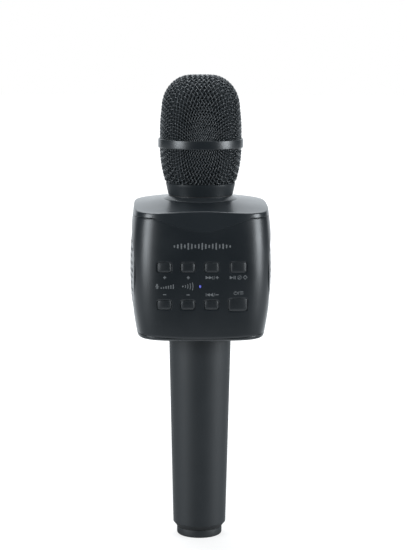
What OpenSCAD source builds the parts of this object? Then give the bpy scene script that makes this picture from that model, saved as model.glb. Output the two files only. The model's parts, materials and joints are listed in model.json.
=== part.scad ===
// Hand-held karaoke microphone with a built-in two-speaker body.
// Origin: centre of the end cap's flat underside. +Z runs up the handle to the head, -Y is the button side.
// All sizes are in millimetres.

/* [Handle] */
// Handle radius where it enters the body
handle_top_r = 18; // [17.5:0.1:18.2]
// Handle radius at its lower shoulder
handle_low_r = 15.4; // [14.8:0.05:15.8]
// Height of the handle's lower shoulder
handle_low_z = 7.6; // [7:0.1:9]
// Wall of the handle tube
handle_wall = 2; // [1.6:0.1:2.4]
// Radius of the end cap's foot
end_cap_r = 13.2; // [12.8:0.1:13.4]

/* [Speaker body] */
// Full width of the body at its widest
body_w = 81.2; // [80:0.2:83]
// Full depth of the body at its deepest
body_d = 75; // [74:0.5:77]
// Height of the widest section
body_mid_z = 164; // [162:0.5:166]
// Radius of the barrel curve of the walls
side_arc_r = 218; // [200:5:260]
// Squareness of the plan outline, where 2 is an ellipse
corner_n = 4; // [3.4:0.1:4.4]
// Wall of the shells
wall = 2.4; // [2.2:0.1:2.6]
// Underside of the body
body_low_z = 121; // [120.5:0.1:121.5]
// Seam between shells and top cap
cap_seam_z = 190.8; // [190:0.1:191.5]
// Depth of the visor that the top cap hangs over the front
visor_drop = 7.2; // [4:0.2:9]

/* [Head] */
// Largest outer radius of the wire baskets
basket_r = 23.6; // [23.2:0.1:23.7]
// Outer radius of the middle ring
ring_r = 24.45; // [24.3:0.05:25]
// Top of the head
head_top_z = 270; // [268:0.5:272]
// Top of the body's neck, where the head screws on
neck_z = 200.9; // [200.7:0.1:201.1]

/* [Buttons] */
// How far a button stands out of the panel
button_proud = 0.7; // [0.3:0.1:1.2]
// Gap between a button and its opening
button_gap = 0.25; // [0.15:0.05:0.4]
// Travel of a button
button_travel = 0.5; // [0.3:0.05:0.6]

/* [Speakers] */
// Height of the speakers' common axis
speaker_z = 160; // [159:0.5:161]
// Radius of a speaker grille
grille_r = 26.5; // [26:0.1:26.6]
// Spacing of the grille's holes
grille_pitch = 4.4; // [4:0.1:6]
// Radius of a grille hole
grille_hole_r = 1.2; // [0.8:0.1:1.4]

/* [Hidden] */
$fn = 64;

// Buttons: name, x, z, width, height
BUTTONS = [
    ["mic_volume_up", -21.4, 163.6, 8, 5.5],
    ["echo_up", -8.2, 163.6, 8, 5.5],
    ["next", 5.2, 163.6, 8, 5.5],
    ["play", 20.2, 163.6, 9.2, 6.1],
    ["mic_volume_down", -21.4, 142.2, 8, 5.2],
    ["echo_down", -8.2, 142.2, 8, 5.2],
    ["previous", 5.2, 142.2, 8, 5.2],
    ["power", 20.1, 142.2, 11, 7.1]
];
// Sides: name, direction along X
SIDES = [["left", -1], ["right", 1]];

seam_gap = 0.2;
seam_arch_r = 435;
cap_wall = 2.2;
rim_r = 0.8;
neck_r = 18.6;
neck_fillet = 3.6;
neck_bore_r = 16.8;
spigot_r = 16.55;
thread_bore_r = 16.6;

crown_z0 = 198.45;
crown_slope = 0.0575;
crown_depth_r = 320;
crown_width_r = 300;
neck_rise = 2.0;
neck_rise_out = 42;
neck_rise_fade = 0.35;

visor_half = 27.8;
boss_r = 18.9;
boss_low_z = 118;
boss_bore_r = 18.1;
foot_rim_r = 1.2;
floor_z = 123.6;
lip_inset = 2.7;

basket_wall = 1.1;
basket_corner_w = 16.7;
basket_corner_h = 19.3;
basket_taper = 0.9;
basket_straight_z = 237;
basket_low_curve = 0.00765;
basket_low_z = 229;
collar_z = 208.2;
collar_top_r = 20;
collar_low_r = 18.65;
foam_wall = 3;
foam_gap = 0.25;

board_y = -27;
board_thick = 1.6;
plunger_y = -31;
plunger_r = 1.2;
flange_depth = 3.2;
flange_thick = 0.9;
led_x = -1.3;
led_z = 152.7;
led_r = 1;

body_posts = [[-24, 129], [24, 129], [-24, 185], [24, 185]];
board_posts = [[-26, 134.5], [26, 134.5], [-26, 172], [26, 172]];
post_r = 3.2;
board_post_r = 2.2;

seat_x = 36.6;
seat_inner_x = 34.4;
seat_hole_r = 23;
seat_ring_r = 28.7;
grille_clear = 0.2;
grille_rim_x = 38.2;
grille_top_x = 40.5;
grille_thick = 1.1;
speaker_screw_r = 27.2;

port_z = 135.6;
usb_x = -12;
card_x = 12.5;
aux_z = 138.6;
aux_mouth_y = 35.7;
aux_bore_r = 1.8;
aux_bore_len = 12;

battery_r = 9.2;
battery_z = 30;
battery_len = 65;
tray_r = 12.4;

end_spigot_r = 12;
end_bore_r = 12.05;
handle_top_z = 130;

// Plan angles of the lofted shells
full_cols = 60;
half_cols = 30;
half_gap_deg = 0.15;

// Leads: hand-placed points, in millimetres
CAPSULE_LEAD = [
    [0, 0, 204.5], [0, 0, 198], [0, -2, 193], [0, -8, 187], [0, -15, 182],
    [0, -20, 177], [0, -21.5, 172], [0, -22, 168], [0, -23.4, 166.4], [0, -25.4, 166.4]
];
BATTERY_LEAD = [
    [0, 0, 101], [0, 0, 108], [0, -1, 116], [0, -3, 124], [0, -7, 131],
    [-2, -12, 137], [-4, -17, 141], [-6, -21, 143.4], [-6, -23.6, 144], [-6, -25.4, 144]
];
SPEAKER_LEAD = [
    [22, -18.2, 151], [20.5, -20, 150.5], [18, -21.5, 150], [15, -22.2, 150], [13, -23.4, 150], [13, -25.4, 150]
];
lead_r = 0.8;

// ---------- shared shapes ----------

function half_w(z) = body_w / 2 - pow(z - body_mid_z, 2) / (2 * side_arc_r);
function half_d(z) = body_d / 2 - pow(z - body_mid_z, 2) / (2 * side_arc_r);

// Distance from the axis to the body's skin at plan angle a and height z, set in by inset
function skin_r(a, z, inset = 0) =
    1 / pow(
        pow(abs(cos(a)) / (half_w(z) - inset), corner_n) + pow(abs(sin(a)) / (half_d(z) - inset), corner_n),
        1 / corner_n
    );
function skin(a, z, inset = 0) = let (r = skin_r(a, z, inset)) [r * cos(a), r * sin(a), z];

// Depth of the front wall at x, z: its outer face is at minus this
function front_y(x, z) = half_d(z) * pow(1 - pow(abs(x) / half_w(z), corner_n), 1 / corner_n);

// The top cap's crowned surface
function crown_z(x, y) =
    let (
        r = norm([x, y]),
        u = (r - neck_r - neck_fillet) / (neck_rise_out - neck_r - neck_fillet),
        rise = neck_rise * (1 - neck_rise_fade * (1 + y / r))
    )
    crown_z0 + crown_slope * y - y * y / (2 * crown_depth_r) - x * x / (2 * crown_width_r)
    + rise * pow(1 - min(max(u, 0), 1), 1.4);

// How far the visor hangs at x: half a parabola, half a cosine, so that its ends run into the seam
function visor(x) =
    let (u = abs(x) / visor_half)
    u >= 1 ? 0 : visor_drop * ((1 - u * u) + (1 + cos(180 * u)) / 2) / 2;

// Height of the seam under the top cap at plan angle a
function cap_seam(a) =
    let (p = skin(a, cap_seam_z))
    sin(a) < 0 ? cap_seam_z - visor(p[0]) : cap_seam_z;

// Height of the seam over the bottom cap at plan angle a
function foot_seam(a) = let (p = skin(a, body_low_z + 1.3)) body_low_z + 1.3 + p[0] * p[0] / (2 * seam_arch_r);

function mix(a, b, t) = a + (b - a) * t;

function grid_faces(cols, rows, closed) = [
    for (i = [0 : cols - (closed ? 1 : 2)], j = [0 : rows - 1])
        let (k = (i + 1) % cols, l = (j + 1) % rows, a = i * rows + j, b = k * rows + j, c = k * rows + l, d = i * rows + l)
        each [[a, c, b], [a, d, c]]
];

// Solid swept round the axis: loops[i] is the closed outline at the i-th plan angle
module ring_loft(loops) {
    rows = len(loops[0]);
    polyhedron(points = [for (l = loops) each l], faces = grid_faces(len(loops), rows, true), convexity = 8);
}

// Solid swept part of the way round; each loop is an outer run and the same number of inner points back
module part_loft(loops) {
    cols = len(loops);
    rows = len(loops[0]);
    last = (cols - 1) * rows;
    ends = [
        for (j = [0 : rows / 2 - 2])
            let (a = j, b = j + 1, c = rows - 2 - j, d = rows - 1 - j)
            each [[a, c, b], [a, d, c], [last + a, last + b, last + c], [last + a, last + c, last + d]]
    ];
    polyhedron(points = [for (l = loops) each l], faces = concat(grid_faces(cols, rows, false), ends), convexity = 8);
}

module rounded_bar(w, h, r, y0, y1) {
    translate([0, y0, 0]) rotate([-90, 0, 0]) {
        linear_extrude(y1 - y0) square([w - 2 * r, h], center = true);
        linear_extrude(y1 - y0) square([w, h - 2 * r], center = true);
        for (sx = [-1, 1], sz = [-1, 1])
            translate([sx * (w / 2 - r), sz * (h / 2 - r), 0]) cylinder(r = r, h = y1 - y0, $fn = 32);
    }
}

module bar(x, y0, y1, z, w, h) {
    translate([x - w / 2, y0, z - h / 2]) cube([w, y1 - y0, h]);
}

module y_pin(x, z, r, y0, y1) {
    translate([x, y0, z]) rotate([-90, 0, 0]) cylinder(r = r, h = y1 - y0);
}

// Turns children drawn about +Z so that they point along X on one side of the body
module on_side(dir) {
    translate([0, 0, speaker_z]) mirror([dir < 0 ? 1 : 0, 0, 0]) rotate([0, 90, 0]) children();
}

// Tube of radius r through hand-placed points, with smooth bends between them
function on_curve(p, i, t) =
    let (
        n = len(p) - 1,
        a = p[max(i - 1, 0)], b = p[i], c = p[min(i + 1, n)], d = p[min(i + 2, n)]
    )
    0.5 * (2 * b + (c - a) * t + (2 * a - 5 * b + 4 * c - d) * t * t + (3 * b - a - 3 * c + d) * t * t * t);
function unit(v) = v / norm(v);
module tube(p, r, sides = 8) {
    n = len(p) - 1;
    line = concat([for (i = [0 : n - 1], t = [0, 0.5]) on_curve(p, i, t)], [p[n]]);
    last = len(line) - 1;
    rings = [
        for (i = [0 : last])
            let (
                along = unit(line[min(i + 1, last)] - line[max(i - 1, 0)]),
                side = unit(cross([1, 0, 0], along)),
                up = cross(along, side)
            )
            [for (k = [0 : sides - 1]) line[i] + r * (cos(360 * k / sides) * side + sin(360 * k / sides) * up)]
    ];
    polyhedron(
        points = [for (l = rings) each l],
        faces = concat(
            [[for (k = [0 : sides - 1]) k]],
            [for (i = [0 : last - 1], k = [0 : sides - 1])
                let (m = (k + 1) % sides, a = i * sides + k, b = i * sides + m)
                each [[a, a + sides, b + sides], [a, b + sides, b]]],
            [[for (k = [sides - 1 : -1 : 0]) last * sides + k]]
        )
    );
}

// ---------- head ----------

// Outer line of the upper basket from its lower edge to the crown, moved in by inset
function upper_line(inset, low_z) =
    let (corner_z = head_top_z - basket_corner_h, corner_c = basket_r - basket_taper - basket_corner_w)
    concat(
        [for (i = [0 : 5]) let (z = mix(low_z, corner_z, i / 5), rise = max(z - basket_straight_z, 0))
            [basket_r - inset - basket_taper * pow(rise / (corner_z - basket_straight_z), 2), z]],
        [for (a = [7.5 : 7.5 : 90])
            [corner_c + (basket_corner_w - inset) * cos(a), corner_z + (basket_corner_h - inset) * sin(a)]],
        [[0, head_top_z - inset]]
    );
function lower_r(z, inset) = basket_r - inset - basket_low_curve * pow(max(basket_low_z - z, 0), 2);
function lower_line(inset, z0, z1) = [for (i = [0 : 8]) let (z = mix(z0, z1, i / 8)) [lower_r(z, inset), z]];
function reversed(p) = [for (i = [len(p) - 1 : -1 : 0]) p[i]];

module upper_basket() {
    color("dimgray") rotate_extrude()
        polygon(concat(upper_line(0, 231.7), reversed(upper_line(basket_wall, 231.7))));
}

module lower_basket() {
    lip_r = 19.4;
    color("dimgray") rotate_extrude()
        polygon(concat(
            [[lip_r - basket_wall, 205.4], [lip_r, 205.4], [lip_r, collar_z + 0.05]],
            lower_line(0, collar_z + 0.05, 230.2),
            reversed(lower_line(basket_wall, collar_z + 0.8, 230.2))
        ));
}

module grille_ring() {
    web_r = 22.4;
    inner_r = 23.75;
    edge = 0.35;
    color("black") rotate_extrude()
        polygon([
            [inner_r, 228.4], [ring_r - edge, 228.4], [ring_r, 228.4 + edge], [ring_r, 233.5 - edge],
            [ring_r - edge, 233.5], [inner_r, 233.5], [inner_r, 231.6], [web_r, 231.6], [web_r, 230.3], [inner_r, 230.3]
        ]);
}

module grille_collar() {
    groove_r = 19.45;
    low_z = neck_z + 0.5;
    color("black") rotate_extrude()
        polygon([
            [thread_bore_r, low_z], [collar_low_r - 0.2, low_z], [collar_low_r, low_z + 0.2],
            [collar_top_r, collar_z - 0.3], [collar_top_r - 0.3, collar_z],
            [groove_r, collar_z], [groove_r, 205.3], [17.6, 205.3], [17.6, 205.9], [thread_bore_r, 205.9]
        ]);
}

module foam_windscreen() {
    inset = basket_wall + foam_gap;
    color("darkslategray") rotate_extrude()
        polygon(concat(
            lower_line(inset, 209.6, 230.2),
            upper_line(inset, 231.6),
            reversed(upper_line(inset + foam_wall, 231.6)),
            reversed(lower_line(inset + foam_wall, 209.6, 230.2))
        ));
}

module head_washer() {
    color("black") translate([0, 0, neck_z]) difference() {
        cylinder(r = 17.9, h = 0.5);
        translate([0, 0, -1]) cylinder(r = spigot_r + 0.1, h = 3);
    }
}

// ---------- capsule and neck ----------

module neck_spigot() {
    bore_r = 13.5;
    color("black") difference() {
        union() {
            translate([0, 0, 190.6]) cylinder(r = spigot_r, h = 15.6);
            translate([0, 0, 190.6]) cylinder(r = 20, h = 2);
        }
        translate([0, 0, 180]) cylinder(r = bore_r, h = 40);
    }
}

module capsule_mount() {
    color("dimgray") rotate_extrude()
        polygon([[11.05, 202.8], [13.4, 202.8], [13.4, 206.2], [15.4, 206.2], [15.4, 207.6], [13.4, 208.4], [13.4, 211], [11.05, 211]]);
}

module mic_capsule() {
    color("silver") difference() {
        union() {
            translate([0, 0, 204.5]) cylinder(r = 11, h = 15.5);
            translate([0, 0, 220]) cylinder(r1 = 11, r2 = 9.6, h = 1.6);
        }
        for (a = [0 : 45 : 315]) rotate(a) translate([6.2, 0, 219]) cylinder(r = 1.2, h = 4, $fn = 24);
        translate([0, 0, 219]) cylinder(r = 1.6, h = 4, $fn = 24);
    }
}

// ---------- speaker body ----------

// Closed outline of the top cap at plan angle a, outside first
function cap_loop(a) =
    let (
        seam = cap_seam(a) + seam_gap,
        rim = skin(a, 195, rim_r),
        rim_z = crown_z(rim[0], rim[1]),
        base_r = neck_r + neck_fillet,
        base_z = crown_z(base_r * cos(a), base_r * sin(a)),
        edge_r = norm([rim[0], rim[1]]),
        low = 194.2
    )
    concat(
        [for (t = [0, 0.5, 1]) skin(a, mix(seam, rim_z - rim_r, t))],
        [skin(a, rim_z - rim_r * 0.29, rim_r * 0.29)],
        [for (t = [0, 0.25, 0.5, 0.75, 1])
            let (r = mix(edge_r, base_r, t), x = r * cos(a), y = r * sin(a)) [x, y, crown_z(x, y)]],
        [for (f = [62, 43, 25])
            let (
                r = base_r - neck_fillet * (cos(f) - cos(80)) / (cos(25) - cos(80)),
                z = mix(base_z, neck_z, (sin(80) - sin(f)) / (sin(80) - sin(25)))
            )
            [r * cos(a), r * sin(a), z]],
        [[neck_bore_r * cos(a), neck_bore_r * sin(a), neck_z], [neck_bore_r * cos(a), neck_bore_r * sin(a), low]],
        [for (t = [0.35, 1])
            let (r = mix(neck_bore_r, edge_r - cap_wall, t), x = r * cos(a), y = r * sin(a))
            [x, y, min(low, crown_z(x, y) - cap_wall)]],
        [skin(a, rim_z - rim_r - cap_wall, cap_wall), skin(a, seam, cap_wall)]
    );

module top_cap() {
    color("#2b2e30") ring_loft([for (i = [0 : full_cols - 1]) cap_loop(i * 360 / full_cols)]);
}

function shell_loop(a) =
    let (low = foot_seam(a) + seam_gap, high = cap_seam(a))
    concat(
        [for (i = [0 : 8]) skin(a, mix(low, high, i / 8))],
        [for (i = [8 : -1 : 0]) skin(a, mix(low, high, i / 8), wall)]
    );

// Half of the body's wall, from plan angle start through half a turn, with its speaker seats cut
module half_shell(start) {
    span = 180 - 2 * half_gap_deg;
    difference() {
        part_loft([for (i = [0 : half_cols]) shell_loop(start + half_gap_deg + span * i / half_cols)]);
        for (s = SIDES) on_side(s[1]) translate([0, 0, 30]) cylinder(r = grille_r + grille_clear, h = 20);
    }
}

// Half of the ring that a speaker and its grille seat on; keep is the half's direction along Y
module seat_half(dir, keep) {
    intersection() {
        on_side(dir) translate([0, 0, seat_inner_x]) difference() {
            cylinder(r = seat_ring_r, h = seat_x - seat_inner_x);
            translate([0, 0, -1]) cylinder(r = seat_hole_r, h = 10);
        }
        translate([-60, keep > 0 ? 0.1 : -50.1, 100]) cube([120, 50, 100]);
    }
}

module speaker_screw_holes() {
    for (s = SIDES) on_side(s[1]) for (a = [45 : 90 : 315])
        rotate(a) translate([speaker_screw_r, 0, seat_inner_x - 1]) cylinder(r = 1.2, h = 2.6, $fn = 24);
}

module front_shell() {
    color("#2b2e30") difference() {
        union() {
            half_shell(180);
            for (s = SIDES) seat_half(s[1], -1);
            for (p = body_posts) y_pin(p[0], p[1], post_r, -(front_y(p[0], p[1]) - 1), -0.2);
            for (p = board_posts) y_pin(p[0], p[1], board_post_r, -(front_y(p[0], p[1]) - 1), board_y);
        }
        speaker_screw_holes();
        for (p = body_posts) y_pin(p[0], p[1], 1.45, -12, 1);
        for (p = board_posts) y_pin(p[0], p[1], 1.05, board_y - 3.5, board_y + 1);
        for (b = BUTTONS) {
            pocket = flange_y(b[2]);
            translate([b[1], 0, b[2]])
                rounded_bar(b[3] + 2 * button_gap, b[4] + 2 * button_gap, 1.2 + button_gap, -50, pocket + 1);
            bar(b[1], pocket, board_y, b[2], b[3] + 2, b[4] + 2);
        }
        y_pin(led_x, led_z, led_r + 0.05, -50, -30);
    }
}

module rear_shell() {
    color("#2b2e30") difference() {
        union() {
            half_shell(0);
            for (s = SIDES) seat_half(s[1], 1);
            for (p = body_posts) y_pin(p[0], p[1], post_r, 0.2, front_y(p[0], p[1]) - 1);
        }
        speaker_screw_holes();
        for (p = body_posts) {
            y_pin(p[0], p[1], 1.55, -1, 11);
            y_pin(p[0], p[1], 2.8, 10, 50);
        }
        bar(usb_x, 25, 50, port_z + 1.35, 8.2, 3.4);
        bar(card_x, 25, 50, port_z + 0.95, 13.4, 2.5);
        y_pin(0, aux_z, 3.1, 25, 50);
    }
}

// Closed outline of the bottom cap at plan angle a, outside first
function foot_loop(a) =
    let (seam = foot_seam(a), c = [cos(a), sin(a)], flat = skin_r(a, body_low_z, foot_rim_r))
    [
        skin(a, body_low_z + foot_rim_r, 0),
        skin(a, seam, 0),
        skin(a, seam, lip_inset),
        skin(a, floor_z + 1.2, lip_inset),
        skin(a, floor_z + 1.2, lip_inset + 1.2),
        skin(a, floor_z, lip_inset + 1.2),
        [boss_bore_r * c[0], boss_bore_r * c[1], floor_z],
        [boss_bore_r * c[0], boss_bore_r * c[1], boss_low_z],
        [(boss_r - 0.3) * c[0], (boss_r - 0.3) * c[1], boss_low_z],
        [boss_r * c[0], boss_r * c[1], boss_low_z + 0.3],
        [boss_r * c[0], boss_r * c[1], body_low_z],
        [flat * c[0], flat * c[1], body_low_z],
        skin(a, body_low_z + foot_rim_r * 0.29, foot_rim_r * 0.29)
    ];

module bottom_cap() {
    color("#2b2e30") ring_loft([for (i = [0 : full_cols - 1]) foot_loop(i * 360 / full_cols)]);
}

// ---------- speakers ----------

module grille(dir) {
    flat_r = 22;
    reach = flat_r - grille_hole_r - 0.3;
    row = grille_pitch * sin(60);
    steps = ceil(reach / row);
    color("#34373a") on_side(dir) difference() {
        rotate_extrude($fn = 96)
            polygon([
                [0, grille_top_x], [flat_r, grille_top_x], [grille_r - 1, grille_rim_x + 1.3], [grille_r, grille_rim_x],
                [grille_r, seat_x], [grille_r - 1.5, seat_x], [grille_r - 1.5, grille_rim_x],
                [flat_r, grille_top_x - grille_thick], [0, grille_top_x - grille_thick]
            ]);
        for (j = [-steps : steps], i = [-steps - 2 : steps + 2])
            let (y = j * row, x = (i + (abs(j) % 2) / 2) * grille_pitch)
            if (x * x + y * y < reach * reach)
                translate([x, y, seat_x - 1]) cylinder(r = grille_hole_r, h = 10, $fn = 16);
    }
}

module speaker_gasket(dir) {
    color("black") on_side(dir) translate([0, 0, 33.5]) difference() {
        cylinder(r = 25.5, h = 0.8);
        translate([0, 0, -1]) cylinder(r = 21.5, h = 3);
    }
}

module speaker_frame(dir) {
    color("gray") on_side(dir) difference() {
        rotate_extrude()
            polygon([
                [7.5, 24], [14.2, 24], [14.2, 25], [22.2, 31.9], [25.8, 31.9], [25.8, 33.1],
                [21, 33.1], [13.2, 25.9], [7.5, 25.9]
            ]);
        for (a = [0 : 90 : 270]) rotate(a) translate([18.2, 0, 28.4]) rotate([0, 50, 0]) cube([6, 11, 6], center = true);
    }
}

module speaker_magnet(dir) {
    color("#4a4a4c") on_side(dir) {
        translate([0, 0, 16]) cylinder(r = 12.5, h = 1.5);
        translate([0, 0, 17.5]) cylinder(r = 14, h = 5);
        translate([0, 0, 22.5]) cylinder(r = 12.5, h = 1.5);
    }
}

module speaker_cone(dir) {
    color("#1d1d1f") on_side(dir) rotate_extrude()
        polygon([
            [0, 30.2], [3, 30], [6, 29.2], [8.5, 27.8], [18.4, 33.2], [18.8, 33.9], [19.4, 34.2], [20.1, 34], [20.6, 33.45],
            [24.5, 33.45], [24.5, 33.15], [20.2, 33.15], [19.7, 33.6], [19.3, 33.6], [18.9, 32.8], [8.4, 27],
            [7.6, 27], [5.6, 28.6], [3, 29.3], [0, 29.5]
        ]);
}

module speaker_screws() {
    color("silver") for (s = SIDES) on_side(s[1]) for (a = [45 : 90 : 315]) rotate(a)
        translate([speaker_screw_r, 0, 0]) {
            translate([0, 0, 30.4]) cylinder(r = 2, h = 1.5, $fn = 32);
            translate([0, 0, 31.9]) cylinder(r = 1.1, h = 3.9, $fn = 24);
        }
}

// ---------- buttons and boards ----------

function flange_y(z) = -(half_d(z) - flange_depth);

module button(b) {
    face_y = -(front_y(b[1], b[2]) + button_proud);
    flange = flange_y(b[2]) + 0.05;
    color("#303336") {
        translate([b[1], 0, b[2]]) rounded_bar(b[3], b[4], 1.2, face_y, flange + 0.3);
        bar(b[1], flange, flange + flange_thick, b[2], b[3] + 1.6, b[4] + 1.6);
        y_pin(b[1], b[2], 1.6, flange + 0.4, plunger_y);
    }
}

module plunger(b) {
    color("ivory") y_pin(b[1], b[2], plunger_r, plunger_y, plunger_y + 2);
}

module switch_bodies() {
    color("black") for (b = BUTTONS) difference() {
        bar(b[1], board_y - 3, board_y, b[2], 4.5, 4.5);
        y_pin(b[1], b[2], plunger_r + 0.05, board_y - 4, plunger_y + 2 + button_travel + 0.1);
    }
}

module main_board() {
    color("darkgreen") difference() {
        bar(0, board_y, board_y + board_thick, 153.2, 58, 43);
        for (p = board_posts) y_pin(p[0], p[1], 1.1, board_y - 1, board_y + 3);
    }
}

module status_led() {
    color("#2b3cff") {
        y_pin(led_x, led_z, led_r, -(front_y(led_x, led_z) + 0.1), board_y - 1.5);
        y_pin(led_x, led_z, 1.5, board_y - 1.5, board_y);
    }
}

module board_screws() {
    color("silver") for (p = board_posts) {
        y_pin(p[0], p[1], 1, board_y - 3, board_y + board_thick);
        y_pin(p[0], p[1], 1.9, board_y + board_thick, board_y + board_thick + 1.3);
    }
}

module body_screws() {
    color("silver") for (p = body_posts) {
        y_pin(p[0], p[1], 1.4, -10, 10);
        y_pin(p[0], p[1], 2.6, 10, 12);
    }
}

module port_board() {
    color("darkgreen") translate([-20, 14, port_z - board_thick]) cube([40, 17.8, board_thick]);
}

module usb_socket() {
    color("silver") difference() {
        bar(usb_x, 27.6, 35.2, port_z + 1.35, 7.6, 2.7);
        bar(usb_x, 30.2, 36, port_z + 1.35, 7, 2.1);
    }
}

module aux_jack() {
    color("black") difference() {
        union() {
            bar(0, 22, 33.2, aux_z, 7, 6);
            y_pin(0, aux_z, 2.9, 33.2, aux_mouth_y);
        }
        y_pin(0, aux_z, aux_bore_r, aux_mouth_y - aux_bore_len, aux_mouth_y + 1);
    }
}

module card_slot() {
    color("silver") difference() {
        bar(card_x, 20, 34.6, port_z + 0.95, 13, 1.9);
        bar(card_x, 21, 36, port_z + 0.95, 11.4, 1);
    }
}

// ---------- handle ----------

module handle_tube() {
    taper = (handle_top_r - handle_low_r) / (boss_low_z - handle_low_z);
    step_r = 17.8;
    shoulder_r = 13.6;
    cone_low_r = handle_low_r - handle_wall + taper * (20 - handle_low_z);
    color("#2e3133") rotate_extrude()
        polygon([
            [end_bore_r, 5.2], [shoulder_r, 5.2], [handle_low_r - 0.5, handle_low_z - 0.8], [handle_low_r, handle_low_z],
            [handle_top_r, boss_low_z - 0.1], [step_r, boss_low_z - 0.1], [step_r, handle_top_z],
            [step_r - handle_wall, handle_top_z], [step_r - handle_wall, boss_low_z], [cone_low_r, 20],
            [end_bore_r, 15.2]
        ]);
}

module handle_nut() {
    color("gray") translate([0, 0, floor_z]) difference() {
        cylinder(r = 20.4, h = 4.6);
        translate([0, 0, -1]) cylinder(r = 17.85, h = 8);
        for (a = [0 : 60 : 300]) rotate(a) translate([21.4, 0, 2]) cube([3, 3.4, 8], center = true);
    }
}

module battery() {
    color("steelblue") {
        translate([0, 0, battery_z]) cylinder(r = battery_r, h = battery_len);
        translate([0, 0, battery_z + battery_len]) cylinder(r = 3, h = 0.8, $fn = 32);
    }
}

module battery_tray() {
    floor = 2;
    low = battery_z - 3.2;
    high = battery_z + battery_len + 2.2;
    color("black") difference() {
        translate([0, 0, low]) cylinder(r = tray_r, h = high - low + floor);
        translate([0, 0, low + floor]) cylinder(r = battery_r + 0.15, h = high - low - floor);
        translate([-20, -20 - battery_r * 0.35, low + floor]) cube([40, 20, high - low - floor]);
    }
}

module battery_contacts() {
    color("gold") {
        translate([0, 0, battery_z - 1.2]) cylinder(r1 = 6, r2 = 4, h = 1.2, $fn = 32);
        translate([0, 0, battery_z + battery_len + 0.8]) cylinder(r = 5, h = 1.4, $fn = 32);
    }
}

module end_seal() {
    color("black") difference() {
        translate([0, 0, 4.7]) cylinder(r = 12.9, h = 0.5);
        cylinder(r = end_spigot_r + 0.1, h = 10);
    }
}

module end_cap() {
    foot_edge = 1.4;
    color("#2e3133") rotate_extrude()
        polygon(concat(
            [[0, 0]],
            [for (a = [-90 : 15 : 0]) [end_cap_r - foot_edge + foot_edge * cos(a), foot_edge + foot_edge * sin(a)]],
            [[end_cap_r, 4.7], [end_spigot_r, 4.7], [end_spigot_r, 10.4], [end_spigot_r - 0.5, 10.9]],
            [[9.8, 10.9], [9.8, 3], [0, 3]]
        ));
}

// ---------- leads ----------

module capsule_lead() { color("firebrick") tube(CAPSULE_LEAD, lead_r); }
module battery_lead() { color("firebrick") tube(BATTERY_LEAD, lead_r); }
module speaker_leads() {
    color("firebrick") for (s = SIDES) mirror([s[1] < 0 ? 1 : 0, 0, 0]) tube(SPEAKER_LEAD, lead_r);
}

upper_basket();
lower_basket();
grille_ring();
grille_collar();
foam_windscreen();
head_washer();
neck_spigot();
capsule_mount();
mic_capsule();
top_cap();
front_shell();
rear_shell();
bottom_cap();
for (s = SIDES) {
    grille(s[1]);
    speaker_gasket(s[1]);
    speaker_frame(s[1]);
    speaker_magnet(s[1]);
    speaker_cone(s[1]);
}
for (b = BUTTONS) {
    button(b);
    plunger(b);
}
main_board();
switch_bodies();
status_led();
port_board();
usb_socket();
aux_jack();
card_slot();
body_screws();
board_screws();
speaker_screws();
handle_tube();
handle_nut();
battery();
battery_tray();
battery_contacts();
end_seal();
end_cap();
capsule_lead();
battery_lead();
speaker_leads();
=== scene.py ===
"""Looks for the hand-held karaoke microphone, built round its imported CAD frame.

The object's sizes are millimetres, as in the CAD source, and its meshes are scaled to metres as they
are made. The camera, lights and floor are in metres.
+Z runs up the handle to the head, and the buttons face -Y.
"""
import json
import math

import bpy
import numpy as np
from mathutils import Euler, Matrix


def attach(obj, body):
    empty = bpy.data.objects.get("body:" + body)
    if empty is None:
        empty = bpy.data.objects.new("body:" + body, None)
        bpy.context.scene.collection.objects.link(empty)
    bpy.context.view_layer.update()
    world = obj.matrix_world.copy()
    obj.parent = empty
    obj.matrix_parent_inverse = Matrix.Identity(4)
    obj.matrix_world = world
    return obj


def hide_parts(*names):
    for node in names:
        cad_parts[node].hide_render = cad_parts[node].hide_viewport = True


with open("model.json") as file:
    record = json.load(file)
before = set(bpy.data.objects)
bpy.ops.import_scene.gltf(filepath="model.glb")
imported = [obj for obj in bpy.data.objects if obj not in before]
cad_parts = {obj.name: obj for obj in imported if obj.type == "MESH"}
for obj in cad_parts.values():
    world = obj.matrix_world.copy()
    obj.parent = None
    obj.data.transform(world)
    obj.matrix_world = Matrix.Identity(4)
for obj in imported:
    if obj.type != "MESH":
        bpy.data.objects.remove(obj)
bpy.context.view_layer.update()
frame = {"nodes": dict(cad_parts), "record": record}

MM = 0.001

# ---------- sizes shared with the CAD source ----------

BODY_W = 81.2
BODY_D = 75.0
BODY_MID_Z = 164.0
SIDE_ARC_R = 218.0
CORNER_N = 4.0
WALL = 2.4
BODY_LOW_Z = 121.0
CAP_SEAM_Z = 190.8
VISOR_DROP = 7.2
VISOR_HALF = 27.8
SEAM_ARCH_R = 435.0
HALF_GAP_DEG = 0.15

CAP_WALL = 2.2
RIM_R = 0.8
CROWN_Z0 = 198.45
CROWN_SLOPE = 0.0575
CROWN_DEPTH_R = 320.0
CROWN_WIDTH_R = 300.0
NECK_RISE = 2.0
NECK_RISE_OUT = 42.0
NECK_RISE_FADE = 0.35
NECK_R = 18.6
NECK_Z = 200.9
NECK_FILLET = 3.6
NECK_BORE_R = 16.8
CAP_CEILING_Z = 194.2

FOOT_RIM_R = 1.2
FLOOR_Z = 123.6
LIP_INSET = 2.7
BOSS_R = 18.9
BOSS_LOW_Z = 118.0
BOSS_BORE_R = 18.1

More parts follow.
